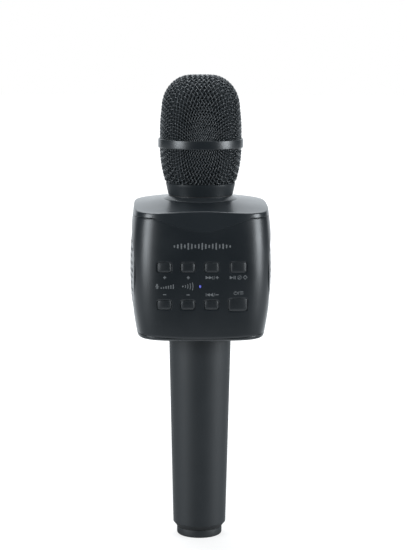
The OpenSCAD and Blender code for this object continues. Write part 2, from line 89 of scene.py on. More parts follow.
HEAD_TOP_Z = 270.0
BASKET_R = 23.6
BASKET_CORNER_W = 16.7
BASKET_CORNER_H = 19.3
BASKET_TAPER = 0.9
BASKET_STRAIGHT_Z = 237.0
BASKET_LOW_CURVE = 0.00765
BASKET_LOW_Z = 229.0
RING_R = 24.45
RING_LOW_Z = 228.4
RING_TOP_Z = 233.5
COLLAR_Z = 208.2
COLLAR_TOP_R = 20.0
COLLAR_LOW_R = 18.65
COLLAR_GAP = 0.5
COLLAR_BORE_R = 16.6
COLLAR_SEAT_R = 19.3
COLLAR_SEAT_Z = 205.3
COLLAR_LEDGE_R = 17.6
COLLAR_LEDGE_Z = 205.9
RING_CLEARANCE = 0.15
RING_RIB_R = 22.4
RING_RIB_LOW_Z = 230.3
RING_RIB_TOP_Z = 231.6

HANDLE_TOP_R = 18.0
HANDLE_LOW_R = 15.4
HANDLE_LOW_Z = 7.6
END_CAP_R = 13.2

# Name, x, z, width, height
BUTTONS = [
    ("mic_volume_up", -21.4, 163.6, 8.0, 5.5),
    ("echo_up", -8.2, 163.6, 8.0, 5.5),
    ("next", 5.2, 163.6, 8.0, 5.5),
    ("play", 20.2, 163.6, 9.2, 6.1),
    ("mic_volume_down", -21.4, 142.2, 8.0, 5.2),
    ("echo_down", -8.2, 142.2, 8.0, 5.2),
    ("previous", 5.2, 142.2, 8.0, 5.2),
    ("power", 20.1, 142.2, 11.0, 7.1),
]
BUTTON_PROUD = 0.7
BUTTON_CORNER_R = 1.2
LED_X = -1.3

SPEAKER_Z = 160.0
GRILLE_R = 26.5
OPENING_R = 26.7
GRILLE_TOP_X = 40.5
GRILLE_THICK = 1.1
GRILLE_PITCH = 4.4
GRILLE_HOLE_R = 1.2
SEAT_X = 36.6

PORT_Z = 135.6
USB_X = -12.0
CARD_X = 12.5
AUX_Z = 138.6
BODY_POSTS = [(-24, 129), (24, 129), (-24, 185), (24, 185)]

# ---------- what only the looks need ----------

WIRE_D = 0.66
WIRE_PITCH = 1.85
WIRE_STRETCH = 0.3
STRETCH_AT = 20.0
STRETCH_REACH = 14.0
FOAM_LOW_Z = 207.9
FOAM_WALL = 3.0
FOAM_INSET = 1.35
FOAM_ROUGH = 0.12

# Edges, gaps and rims finer than the CAD's
SEAM_GAP = 0.14
SEAM_LIP = 0.3
VISOR_GAP = 0.03
VISOR_LIP = 0.07
FOOT_GAP = 0.12
FOOT_LIP = 0.18
LIP_CUT = 0.29
NECK_EDGE_R = 0.25
FLARE_R = 21.3
FLARE_DROP = 0.12
FLARE_EDGE_R = 0.42
GRILLE_RIM_X = 37.5
GRILLE_EDGE_R = 0.5

# The panel round the buttons, where the shell's grid is fine
PANEL_LOW_Z = 135.0
PANEL_MID_Z = 153.0
PANEL_HIGH_Z = 171.0
PANEL_HALF = 30.0
PANEL_STEP = 0.6
PANEL_LEAD = 60
CAP_GAP = 0.06
RECESS_W = 0.7
RECESS_DEPTH = 0.16
SIDE_ROLL = 1.7
SIDE_ROLL_DEPTH = 0.8
TOP_ROLL = 0.22
PRINT_LIFT = 0.035
PRINT_SINK = 0.05
LED_Z = 152.9
LED_W = 1.0
LED_H = 1.6

# Openings in the rear shell: name, x, z, width, height, corner radius
PORT_CUTS = [
    ("usb_cut", USB_X, PORT_Z + 1.35, 8.7, 3.4, 0.6),
    ("card_cut", CARD_X, PORT_Z + 0.95, 13.4, 2.5, 0.6),
    ("aux_cut", 0, AUX_Z, 6.2, 6.2, 3.1),
]
SCREW_WELL_R = 2.9
SCREW_WELL_FLOOR_Y = 10
POST_R = 3.4
POST_BORE_R = 2.8
SCREW_BORE_R = 1.55

LIGHT_TINT = (0.93, 0.985, 1.03)
BACKDROP_HALF_DEG = 32.0
BACKDROP_LIGHT = 1.5
FLOOR_GLOW = 1.6
SIDE_GLOW = 0.85
ROOM_LIGHT = 0.02
CEILING_GLOW = 1.8
FLOOR_WHITE = 0.78
FOOT_SHADE = 0.3

# Slot: dark colour, light colour, roughness range, grain per metre, grain depth (mm)
LOOKS = {
    "shell_plastic": ((0.0115, 0.0148, 0.0175), (0.0135, 0.017, 0.02), (0.32, 0.38), 2600.0, 0.012),
    "cap_plastic": ((0.0165, 0.0205, 0.0235), (0.0185, 0.0225, 0.0258), (0.29, 0.34), 2600.0, 0.012),
    "handle_plastic": ((0.0132, 0.0165, 0.019), (0.0152, 0.0187, 0.0215), (0.54, 0.6), 2600.0, 0.014),
    "collar_plastic": ((0.0155, 0.0192, 0.022), (0.0172, 0.021, 0.024), (0.4, 0.46), 2600.0, 0.012),
    "button_plastic": ((0.0095, 0.0125, 0.0148), (0.0115, 0.0145, 0.017), (0.46, 0.52), 3200.0, 0.01),
    "basket_wire": ((0.0205, 0.0255, 0.029), (0.0305, 0.0355, 0.0395), (0.27, 0.36), 5000.0, 0.02),
    "ring_metal": ((0.0135, 0.017, 0.0195), (0.016, 0.0195, 0.0225), (0.3, 0.35), 3500.0, 0.008),
    "speaker_grille": ((0.0135, 0.017, 0.0195), (0.0175, 0.021, 0.024), (0.3, 0.38), 3500.0, 0.012),
    "foam": ((0.034, 0.04, 0.044), (0.052, 0.06, 0.065), (0.9, 1.0), 1500.0, 0.4),
    "inner_plastic": ((0.012, 0.012, 0.013), (0.018, 0.018, 0.02), (0.45, 0.55), 2000.0, 0.02),
    "seal_rubber": ((0.008, 0.008, 0.008), (0.014, 0.014, 0.014), (0.6, 0.75), 1800.0, 0.03),
    "cone_paper": ((0.008, 0.008, 0.009), (0.02, 0.02, 0.021), (0.6, 0.8), 1400.0, 0.08),
    "magnet": ((0.03, 0.03, 0.032), (0.07, 0.07, 0.075), (0.45, 0.6), 900.0, 0.05),
    "capsule_metal": ((0.55, 0.55, 0.57), (0.66, 0.66, 0.68), (0.25, 0.35), 900.0, 0.01),
    "plated_steel": ((0.5, 0.5, 0.51), (0.62, 0.62, 0.63), (0.25, 0.38), 1500.0, 0.01),
    "contact_brass": ((0.66, 0.5, 0.24), (0.8, 0.62, 0.32), (0.25, 0.4), 1200.0, 0.01),
    "battery_wrap": ((0.05, 0.14, 0.3), (0.07, 0.18, 0.36), (0.25, 0.35), 500.0, 0.02),
    "board": ((0.012, 0.09, 0.035), (0.02, 0.13, 0.055), (0.3, 0.45), 700.0, 0.04),
    "lead": ((0.34, 0.02, 0.015), (0.45, 0.03, 0.02), (0.4, 0.5), 900.0, 0.02),
    "plunger_plastic": ((0.6, 0.58, 0.52), (0.68, 0.66, 0.6), (0.4, 0.5), 1200.0, 0.01),
    "print_ink": ((0.13, 0.137, 0.142), (0.15, 0.157, 0.162), (0.45, 0.55), 4000.0, 0.01),
    "led": ((0.05, 0.06, 0.3), (0.07, 0.08, 0.36), (0.25, 0.3), 1500.0, 0.01),
}
METALLIC = {"magnet": 0.6, "capsule_metal": 1.0, "plated_steel": 1.0, "contact_brass": 1.0}
SPECULAR = {"collar_plastic": 0.18, "button_plastic": 0.38}
COLOUR_DRIFT = 60.0
WIRE_COLOUR_DRIFT = 300.0
BRUSHED_ALONG_Z = (1, 1, 30)
LED_COLOUR = (0.16, 0.18, 1.0)
LED_LIGHT = 0.28


# ---------- materials ----------

def new_material(name, color, roughness, metallic=0.0):
    material = bpy.data.materials.new(name)
    material.use_nodes = True
    shader = material.node_tree.nodes["Principled BSDF"]
    shader.inputs["Base Color"].default_value = (*color, 1)
    shader.inputs["Roughness"].default_value = roughness
    shader.inputs["Metallic"].default_value = metallic
    return material, material.node_tree, shader


def noise(tree, scale, detail=3.0, stretch=(1, 1, 1)):
    """Noise in object space, so its grain keeps a real size. scale is features per metre."""
    coords = tree.nodes.new("ShaderNodeTexCoord")
    mapping = tree.nodes.new("ShaderNodeMapping")
    mapping.inputs["Scale"].default_value = stretch
    tex = tree.nodes.new("ShaderNodeTexNoise")
    tex.inputs["Scale"].default_value = scale
    tex.inputs["Detail"].default_value = detail
    tree.links.new(coords.outputs["Object"], mapping.inputs["Vector"])
    tree.links.new(mapping.outputs["Vector"], tex.inputs["Vector"])
    return tex.outputs["Fac"]


def spread(tree, value, low, high):
    """Maps a noise value onto a range."""
    remap = tree.nodes.new("ShaderNodeMapRange")
    remap.inputs["From Min"].default_value = 0.3
    remap.inputs["From Max"].default_value = 0.7
    remap.inputs["To Min"].default_value = low
    remap.inputs["To Max"].default_value = high
    tree.links.new(value, remap.inputs["Value"])
    return remap.outputs["Result"]


def tint(tree, shader, value, dark, light):
    mix = tree.nodes.new("ShaderNodeMix")
    mix.data_type = "RGBA"
    mix.inputs["A"].default_value = (*dark, 1)
    mix.inputs["B"].default_value = (*light, 1)
    tree.links.new(value, mix.inputs["Factor"])
    tree.links.new(mix.outputs["Result"], shader.inputs["Base Color"])


def bump(tree, shader, value, strength, depth_mm):
    node = tree.nodes.new("ShaderNodeBump")
    node.inputs["Strength"].default_value = strength
    node.inputs["Distance"].default_value = depth_mm * MM
    tree.links.new(value, node.inputs["Height"])
    tree.links.new(node.outputs["Normal"], shader.inputs["Normal"])


def textured(slot):
    """A material whose colour and roughness drift over the part and whose surface has a grain."""
    dark, light, rough, grain, depth_mm = LOOKS[slot]
    middle = [(a + b) / 2 for a, b in zip(dark, light)]
    material, tree, shader = new_material(slot, middle, sum(rough) / 2, METALLIC.get(slot, 0.0))
    drift = noise(tree, WIRE_COLOUR_DRIFT if slot == "basket_wire" else COLOUR_DRIFT, 4.0)
    tint(tree, shader, spread(tree, drift, 0.0, 1.0), dark, light)
    tree.links.new(spread(tree, drift, *rough), shader.inputs["Roughness"])
    stretch = BRUSHED_ALONG_Z if slot == "capsule_metal" else (1, 1, 1)
    bump(tree, shader, noise(tree, grain, 2.0, stretch), 0.5, depth_mm)
    if slot in SPECULAR:
        shader.inputs["Specular IOR Level"].default_value = SPECULAR[slot]
    if slot == "led":
        shader.inputs["Emission Color"].default_value = (*LED_COLOUR, 1)
        shader.inputs["Emission Strength"].default_value = LED_LIGHT
    return material


MATERIALS = {slot: textured(slot) for slot in LOOKS}


# ---------- making pieces ----------

def new_mesh(name, verts, faces):
    """A mesh from points in millimetres."""
    mesh = bpy.data.meshes.new(name)
    corners = [tuple(int(i) for i in f) for f in faces]
    mesh.from_pydata((np.asarray(verts, float) * MM).tolist(), [], corners)
    return mesh


def placed(name, data):
    """A new object in the scene that holds a mesh, a light or a camera."""
    obj = bpy.data.objects.new(name, data)
    bpy.context.scene.collection.objects.link(obj)
    return obj


def piece(name, verts, faces, body, slot, stands_for=(), sharp=38.0, look=None):
    """A mesh piece from points in millimetres. It rides on a body and may stand for CAD nodes."""
    mesh = new_mesh(name, verts, faces)
    mesh.materials.append(MATERIALS[look or slot])
    obj = placed(name, mesh)
    smooth(mesh, sharp)
    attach(obj, body)
    if stands_for:
        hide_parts(*stands_for)
    return obj


def smooth(mesh, sharp):
    mesh.shade_smooth()
    mesh.set_sharp_from_angle(angle=math.radians(sharp))


def quads(cols, rows, wrap_cols=True, wrap_rows=True, base=0):
    """Faces of a grid of points numbered column by column. They face out where rows climb the outside."""
    made = []
    for i in range(cols if wrap_cols else cols - 1):
        k = (i + 1) % cols
        for j in range(rows if wrap_rows else rows - 1):
            m = (j + 1) % rows
            near, far = base + i * rows, base + k * rows
            made.append((near + j, far + j, far + m, near + m))
    return made


def lathe(name, outline, body, slot, stands_for=(), columns=192, sharp=38.0, look=None):
    """A solid of revolution from (r, z) points that climb the outside and come back down the inside."""
    outline = np.asarray(outline, float)
    turns = np.arange(columns) * 2 * math.pi / columns
    verts = [(r * math.cos(t), r * math.sin(t), z) for t in turns for r, z in outline]
    return piece(name, verts, quads(columns, len(outline)), body, slot, stands_for, sharp, look)


def arc(cx, cy, r, start, stop, steps):
    """Points on an arc, angles in degrees from the first axis."""
    turns = np.radians(np.linspace(start, stop, steps + 1))
    return [(cx + r * math.cos(t), cy + r * math.sin(t)) for t in turns]


def ring_bands(rings, count):
    """Faces between rings of points that are numbered ring by ring, with both ends closed."""
    faces = []
    for a in range(rings - 1):
        near, far = a * count, (a + 1) * count
        faces += [(near + k, far + k, far + (k + 1) % count, near + (k + 1) % count) for k in range(count)]
    return faces + [tuple(range(count)), tuple(reversed(range((rings - 1) * count, rings * count)))]


def cut(obj, tool, sharp=38.0):
    """Takes the tool's solid out of a piece and removes the tool."""
    modifier = obj.modifiers.new("cut", "BOOLEAN")
    modifier.object = tool
    modifier.solver = "EXACT"
    evaluated = obj.evaluated_get(bpy.context.evaluated_depsgraph_get())
    old, mesh = obj.data, bpy.data.meshes.new_from_object(evaluated)
    obj.modifiers.clear()
    obj.data = mesh
    mesh.name = old.name
    bpy.data.meshes.remove(old)
    bpy.data.objects.remove(tool)
    smooth(mesh, sharp)


def cutter(name, verts, faces):
    """A plain solid to cut pieces with, which is not a piece itself."""
    return placed(name, new_mesh(name, verts, faces))


# ---------- the body's curved skin ----------

def half_w(z):
    return BODY_W / 2 - (z - BODY_MID_Z) ** 2 / (2 * SIDE_ARC_R)


def half_d(z):
    return BODY_D / 2 - (z - BODY_MID_Z) ** 2 / (2 * SIDE_ARC_R)


def skin_r(a, z, inset=0.0):
    """Distance from the axis to the body's skin at plan angle a (degrees) and height z."""
    c, s = abs(math.cos(math.radians(a))), abs(math.sin(math.radians(a)))
    across, along = c / (half_w(z) - inset), s / (half_d(z) - inset)
    return (across ** CORNER_N + along ** CORNER_N) ** (-1 / CORNER_N)


def polar(a, r, z):
    return (r * math.cos(math.radians(a)), r * math.sin(math.radians(a)), z)


def skin(a, z, inset=0.0):
    return polar(a, skin_r(a, z, inset), z)


def front_y(x, z, inset=0.0):
    """How far the front skin stands out at x, z."""
    w, d = half_w(z) - inset, half_d(z) - inset
    return d * (1 - (np.abs(x) / w) ** CORNER_N) ** (1 / CORNER_N)


def crown_z(x, y):
    """Height of the top cap's crown, which climbs to the back and rises towards the neck."""
    r = math.hypot(x, y)
    u = (r - NECK_R - NECK_FILLET) / (NECK_RISE_OUT - NECK_R - NECK_FILLET)
    rise = NECK_RISE * (1 - NECK_RISE_FADE * (1 + y / r)) * (1 - min(max(u, 0), 1)) ** 1.4
    return CROWN_Z0 + rise + CROWN_SLOPE * y - y * y / (2 * CROWN_DEPTH_R) - x * x / (2 * CROWN_WIDTH_R)


def visor(x):
    """How far the cap's front seam dips at x."""
    u = abs(x) / VISOR_HALF
    if u >= 1:
        return 0.0
    return VISOR_DROP * ((1 - u * u) + (1 + math.cos(math.pi * u)) / 2) / 2


def cap_seam(a):
    if math.sin(math.radians(a)) >= 0:
        return CAP_SEAM_Z
    return CAP_SEAM_Z - visor(skin(a, CAP_SEAM_Z)[0])


def seam_edge(a):
    """Gap and lip radius of the cap's seam: open at the corners, closed tight along the visor."""
    dip = 0.0 if math.sin(math.radians(a)) >= 0 else visor(skin(a, CAP_SEAM_Z)[0])
    share = min(9 * dip / VISOR_DROP, 1)
    return mixed(SEAM_GAP, VISOR_GAP, share), mixed(SEAM_LIP, VISOR_LIP, share)


def foot_seam(a):
    x = skin(a, BODY_LOW_Z + 1.3)[0]
    return BODY_LOW_Z + 1.3 + x * x / (2 * SEAM_ARCH_R)


def mixed(a, b, t):
    return a + (b - a) * t


def corner_angles(steps):
    """Plan angles round the body, closer together where the outline turns."""
    turns = np.linspace(0, 2 * math.pi, steps, endpoint=False)
    return np.degrees(turns + 0.16 * np.sin(4 * turns))


def wrapped(name, loop, slot, stands_for):
    """A closed skin made of one loop of points at each plan angle round the body."""
    loops = [loop(a) for a in corner_angles(288)]
    verts = [p for points in loops for p in points]
    piece(name, verts, quads(len(loops), len(loops[0])), "root", slot, stands_for)


# ---------- body shells ----------

def top_cap():
    def loop(a):
        gap, lip = seam_edge(a)
        seam = cap_seam(a) + gap
        rim = skin(a, 195, RIM_R)
        rim_z = crown_z(rim[0], rim[1])
        edge_r = math.hypot(rim[0], rim[1])
        points = [skin(a, seam + e, i) for i, e in arc(lip, lip, lip, 270, 180, 4)]
        points += [skin(a, mixed(seam + lip, rim_z - RIM_R, t)) for t in np.linspace(0.1, 1, 8)]
        points += [skin(a, rim_z - RIM_R + h, RIM_R - w) for w, h in arc(0, 0, RIM_R, 15, 90, 5)]
        for r in np.linspace(edge_r, FLARE_R, 22)[1:]:
            x, y, _ = polar(a, r, 0)
            points.append((x, y, crown_z(x, y)))
        foot_z = crown_z(*polar(a, FLARE_R, 0)[:2]) - FLARE_DROP
        foot = arc(FLARE_R - FLARE_EDGE_R, foot_z, FLARE_EDGE_R, 18, 48, 5)
        slope = [(mixed(foot[-1][0], NECK_R, t), mixed(foot[-1][1], NECK_Z - NECK_EDGE_R, t))
                 for t in np.linspace(0, 1, 5)[1:]]
        mouth = arc(NECK_R - NECK_EDGE_R, NECK_Z - NECK_EDGE_R, NECK_EDGE_R, 20, 90, 4)
        points += [polar(a, r, z) for r, z in foot + slope + mouth]
        points += [polar(a, NECK_BORE_R, NECK_Z), polar(a, NECK_BORE_R, CAP_CEILING_Z)]
        for t in (0.35, 1.0):
            x, y, _ = polar(a, mixed(NECK_BORE_R, edge_r - CAP_WALL, t), 0)
            points.append((x, y, min(CAP_CEILING_Z, crown_z(x, y) - CAP_WALL)))
        return points + [skin(a, rim_z - RIM_R - CAP_WALL, CAP_WALL), skin(a, seam, CAP_WALL)]

    wrapped("top_cap_skin", loop, "cap_plastic", ["top_cap"])


def bottom_cap():
    step = 1.2
    round_off = 0.3

    def loop(a):
        seam = foot_seam(a)
        points = [polar(a, skin_r(a, BODY_LOW_Z, FOOT_RIM_R), BODY_LOW_Z)]
        points += [skin(a, BODY_LOW_Z + FOOT_RIM_R + h, FOOT_RIM_R - w)
                   for w, h in arc(0, 0, FOOT_RIM_R, -75, 0, 5)]
        points += [skin(a, z, inset) for z, inset in (
            (seam - 0.25, 0.0), (seam - 0.07, 0.07), (seam, 0.25), (seam, LIP_INSET),
            (FLOOR_Z + step, LIP_INSET), (FLOOR_Z + step, LIP_INSET + step), (FLOOR_Z, LIP_INSET + step))]
        return points + [polar(a, r, z) for r, z in (
            (BOSS_BORE_R, FLOOR_Z), (BOSS_BORE_R, BOSS_LOW_Z), (BOSS_R - round_off, BOSS_LOW_Z),
            (BOSS_R, BOSS_LOW_Z + round_off), (BOSS_R, BODY_LOW_Z))]

    wrapped("bottom_cap_skin", loop, "shell_plastic", ["bottom_cap"])


def round_distance(x, z, w, h, r):
    """Signed distance from a rectangle with round corners, below zero inside."""
    qx, qz = np.abs(x) - (w / 2 - r), np.abs(z) - (h / 2 - r)
    outside = np.hypot(np.maximum(qx, 0), np.maximum(qz, 0))
    return outside + np.minimum(np.maximum(qx, qz), 0) - r


def ray_ring(dx, dz, w, h, r, offset):
    """Points on the rays (dx, dz) from the centre that lie offset outside the round rectangle."""
    low, high = np.zeros(len(dx)), np.full(len(dx), 1.0)
    for _ in range(40):
        mid = (low + high) / 2
        outside = round_distance(dx * mid, dz * mid, w, h, r) > offset
        high = np.where(outside, mid, high)
        low = np.where(outside, low, mid)
    return dx * high, dz * high


def breakpoints(low, high, marks, step):
    """Values from low to high that include every mark, at most step apart."""
    stops = sorted({low, high, *[round(m, 4) for m in marks if low < m < high]})
    values = [low]
    for a, b in zip(stops, stops[1:]):
        parts = max(1, math.ceil((b - a) / step))
        values += [a + (b - a) * (k + 1) / parts for k in range(parts)]
    return values


def half_shell(name, stands_for, start, openings, columns):
    """Half of the body's wall, from plan angle start through half a turn, with its openings.

    An opening is (x, z, width, height, corner radius, gap, recess width, recess depth). A wall
    without openings has the given number of columns.
    """
    margin = 0.15
    windows = []
    for x, z, w, h, r, gap, rw, rd in openings:
        reach = gap + rw + margin
        windows.append((x - w / 2 - reach, x + w / 2 + reach, z - h / 2 - reach, z + h / 2 + reach))
    xs = []
    if windows:
        xs = breakpoints(-PANEL_HALF, PANEL_HALF, [v for w in windows for v in w[:2]], PANEL_STEP)
        middle = [math.degrees(math.atan2(-front_y(x, PANEL_MID_Z), x)) % 360 for x in xs]
        outer = np.linspace(start + HALF_GAP_DEG, middle[0], PANEL_LEAD, endpoint=False)
        angles = [*outer, *middle, *(540 - outer[::-1])]
        levels = breakpoints(PANEL_LOW_Z, PANEL_HIGH_Z, [v for w in windows for v in w[2:]], PANEL_STEP)
    else:
        angles = np.linspace(start + HALF_GAP_DEG, start + 180 - HALF_GAP_DEG, columns)
        levels = list(np.linspace(PANEL_LOW_Z, PANEL_HIGH_Z, 24))

    def heights(a):
        low, high, foot = foot_seam(a) + FOOT_GAP, cap_seam(a), FOOT_LIP
        lip = seam_edge(a)[1]
        return ([(foot, low), (foot * LIP_CUT, low + foot * LIP_CUT), (0, low + foot)]
                + [(0, mixed(low + foot, PANEL_LOW_Z, t)) for t in np.linspace(0, 1, 11)[1:-1]]
                + [(0, z) for z in levels]
                + [(0, mixed(PANEL_HIGH_Z, high - lip, t)) for t in np.linspace(0, 1, 15)[1:-1]]
                + [(0, high - lip), (lip * LIP_CUT, high - lip * LIP_CUT), (lip, high)])

    def nearest(values, v):
        return min(range(len(values)), key=lambda k: abs(values[k] - v))

    first_level = 3 + 9  # after the lip's points and the rows below the panel
    rows = len(heights(270))
    verts, faces = [], []
    for a in angles:
        outside = heights(a)
        verts += [skin(a, z, i) for i, z in outside]
        verts += [skin(a, z, WALL) for i, z in reversed(outside)]
    cols, loop_rows = len(angles), 2 * rows
    holes = [(PANEL_LEAD + nearest(xs, x0), PANEL_LEAD + nearest(xs, x1),
              first_level + nearest(levels, z0), first_level + nearest(levels, z1))
             for x0, x1, z0, z1 in windows]
    skipped = {(i, row) for i0, i1, j0, j1 in holes for i in range(i0, i1) for j in range(j0, j1)
               for row in (j, loop_rows - 2 - j)}
    for i in range(cols - 1):
        a, b = i * loop_rows, (i + 1) * loop_rows
        for j in range(loop_rows):
            m = (j + 1) % loop_rows
            if (i, j) not in skipped:
                faces.append((a + j, b + j, b + m, a + m))
    last = (cols - 1) * loop_rows
    for j in range(rows - 1):
        k = loop_rows - 1 - j
        faces.append((j, j + 1, k - 1, k))
        faces.append((last + j, last + k, last + k - 1, last + j + 1))
    for (i0, i1, j0, j1), (x, z, w, h, r, gap, rw, rd) in zip(holes, openings):
        rim = [(i, j0) for i in range(i0, i1)] + [(i1, j) for j in range(j0, j1)]
        rim += [(i, j1) for i in range(i1, i0, -1)] + [(i0, j) for j in range(j1, j0, -1)]
        front = [i * loop_rows + j for i, j in rim]
        back = [i * loop_rows + loop_rows - 1 - j for i, j in rim]
        dx = np.array([verts[v][0] for v in front]) - x
        dz = np.array([verts[v][2] for v in front]) - z
        rings = [front]
        steps = 8
        for k in range(steps + 1):
            t = k / steps
            px, pz = ray_ring(dx, dz, w, h, r, gap + rw * (1 - t))
            depth = rd * t * t * (3 - 2 * t)
            rings.append(add_ring(verts, x + px, z + pz, depth))
        rings.append(add_ring(verts, x + px, z + pz, WALL))
        rings.append(back)
        for a, b in zip(rings, rings[1:]):
            for k in range(len(a)):
                m = (k + 1) % len(a)
                faces.append((a[k], a[m], b[m], b[k]))
    return piece(name, verts, faces, "root", "shell_plastic", stands_for)


def add_ring(verts, xs, zs, depth):
    base = len(verts)
    for x, z in zip(xs, zs):
        verts.append((x, -(front_y(x, z) - depth), z))
    return list(range(base, len(verts)))


def speaker_cutter():
    """Both speakers' openings, a round bar from each side."""
    steps = 160
    verts, faces = [], []
    for stations in ((-50.0, -40.0, -35.0, -30.0), (30.0, 35.0, 40.0, 50.0)):
        base = len(verts)
        for x in stations:
            for k in range(steps):
                t = 2 * math.pi * k / steps
                verts.append((x, OPENING_R * math.cos(t), SPEAKER_Z + OPENING_R * math.sin(t)))
        for i in range(3):
            for k in range(steps):
                m = (k + 1) % steps
                a, b = base + i * steps, base + (i + 1) * steps
                faces.append((a + m, b + m, b + k, a + k))
        faces.append(tuple(reversed(range(base, base + steps))))
        faces.append(tuple(range(base + 3 * steps, base + 4 * steps)))
    return cutter("speaker_cutter", verts, faces)


def bar_cutter(name, x, z, w, h, r, y0, y1):
    """A bar along Y with round edges."""
    outline = []
    for cx, cz, start in ((1, 1, 0), (-1, 1, 90), (-1, -1, 180), (1, -1, 270)):
        outline += arc(x + cx * (w / 2 - r), z + cz * (h / 2 - r), r, start, start + 90, 10)
    n = len(outline)
    verts = [(px, y0, pz) for px, pz in outline] + [(px, y1, pz) for px, pz in outline]
    faces = [(n + k, n + (k + 1) % n, (k + 1) % n, k) for k in range(n)]
    return cutter(name, verts, [*faces, tuple(range(n)), tuple(range(2 * n - 1, n - 1, -1))])


def front_shell():
    openings = [(x, z, w, h, BUTTON_CORNER_R, CAP_GAP, RECESS_W, RECESS_DEPTH) for _, x, z, w, h in BUTTONS]
    openings.append((LED_X, LED_Z, LED_W, LED_H, LED_W / 2, 0.05, 0.3, 0.12))
    shell = half_shell("front_shell_skin", ["front_shell"], 180, openings, 0)
    cut(shell, speaker_cutter())


def rear_shell():
    shell = half_shell("rear_shell_skin", ["rear_shell"], 0, [], 200)
    cut(shell, speaker_cutter())
    for name, x, z, w, h, r in PORT_CUTS:
        cut(shell, bar_cutter(name, x, z, w, h, r, 20, 60))
    width = 2 * SCREW_WELL_R
    for n, (x, z) in enumerate(BODY_POSTS):
        cut(shell, bar_cutter(f"screw_cut_{n}", x, z, width, width, SCREW_WELL_R, SCREW_WELL_FLOOR_Y, 60))


def turned_along_y(name, outline, centres, slot, stands_for=(), columns=48):
    """Solids of revolution about lines along Y through (x, z) centres.

    The outline is (r, y) points that run towards +Y on the outside and back on the inside.
    """
    verts, faces = [], []
    for x, z in centres:
        base = len(verts)
        for k in range(columns):
            turn = 2 * math.pi * k / columns
            verts += [(x + r * math.cos(turn), y, z + r * math.sin(turn)) for r, y in outline]
        faces += [tuple(reversed(f)) for f in quads(columns, len(outline), base=base)]
    return piece(name, verts, faces, "root", slot, stands_for)


def screw_wells():
    """The deep posts inside the rear shell that the body's screws sit in."""
    front = 0.2
    for n, (x, z) in enumerate(BODY_POSTS):
        top = min(front_y(abs(x) + POST_R, z + dz) for dz in (-POST_R, POST_R)) - 0.4
        outline = [(POST_R, front), (POST_R, top), (POST_BORE_R, top), (POST_BORE_R, SCREW_WELL_FLOOR_Y),
                   (SCREW_BORE_R, SCREW_WELL_FLOOR_Y), (SCREW_BORE_R, front)]
        turned_along_y(f"screw_well_{n}", outline, [(x, z)], "shell_plastic")


def usb_tongue():
    """The charging socket's tongue."""
    low, high = (USB_X - 2.7, 30.1, PORT_Z + 1.0), (USB_X + 2.7, 34.4, PORT_Z + 1.7)
    verts = [(x, y, z) for x in (low[0], high[0]) for y in (low[1], high[1]) for z in (low[2], high[2])]
    faces = [(0, 1, 3, 2), (4, 6, 7, 5), (0, 4, 5, 1), (2, 3, 7, 6), (0, 2, 6, 4), (1, 5, 7, 3)]
    piece("usb_tongue", verts, faces, "root", "inner_plastic")


# ---------- speaker grilles ----------

def dome_x(r):
    """The grille's outer face: a slight dome that turns down into its rim."""
    return GRILLE_TOP_X - (GRILLE_TOP_X - GRILLE_RIM_X - 0.9) * (r / GRILLE_R) ** 2.6


def speaker_grille(side):
    sign = -1 if side == "left" else 1
    bend_r = GRILLE_R - GRILLE_EDGE_R
    top = dome_x(bend_r)
    outer = [(r, dome_x(r)) for r in np.linspace(0.05, bend_r, 22)]
    outer += arc(bend_r, top - GRILLE_EDGE_R, GRILLE_EDGE_R, 75, 0, 5)
    outer += [(GRILLE_R, SEAT_X), (GRILLE_R - 1.5, SEAT_X), (GRILLE_R - 1.5, top - 1.0)]
    outer += [(r, dome_x(r) - GRILLE_THICK) for r in np.linspace(GRILLE_R - 2.2, 0.05, 20)]
    columns, rows = 144, len(outer)
    verts = []
    for k in range(columns):
        t = 2 * math.pi * k / columns
        verts += [(sign * x, r * math.cos(t), SPEAKER_Z + r * math.sin(t)) for r, x in outer]
    faces = quads(columns, rows, wrap_rows=False)
    faces.append(tuple(k * rows for k in reversed(range(columns))))
    faces.append(tuple(k * rows + rows - 1 for k in range(columns)))
    if sign > 0:
        faces = [tuple(reversed(f)) for f in faces]
    obj = piece(f"{side}_grille_dome", verts, faces, "root", "speaker_grille", [f"{side}_grille"])
    cut(obj, hole_cutter(sign))


def hole_cutter(sign):
    """The grille's holes, in a hexagonal net."""
    circle = arc(0, 0, GRILLE_HOLE_R, 0, 342, 19)
    sides = len(circle)
    row_step = GRILLE_PITCH * math.sin(math.radians(60))
    reach = GRILLE_R - 3.6
    limit = math.ceil(reach / row_step)
    verts, faces = [], []
    for j in range(-limit, limit + 1):
        for i in range(-limit - 2, limit + 3):
            y, z = (i + (j % 2) / 2) * GRILLE_PITCH, j * row_step
            if math.hypot(y, z) > reach:
                continue
            near = len(verts)
            far = near + sides
            for x in (34.0, 44.0):
                verts += [(sign * x, y + u, SPEAKER_Z + z + v) for u, v in circle]
            hole = [(near + k, near + (k + 1) % sides, far + (k + 1) % sides, far + k) for k in range(sides)]
            hole += [tuple(reversed(range(near, far))), tuple(range(far, far + sides))]
            faces += [tuple(reversed(f)) for f in hole] if sign < 0 else hole
    return cutter("grille_holes", verts, faces)


# ---------- head ----------

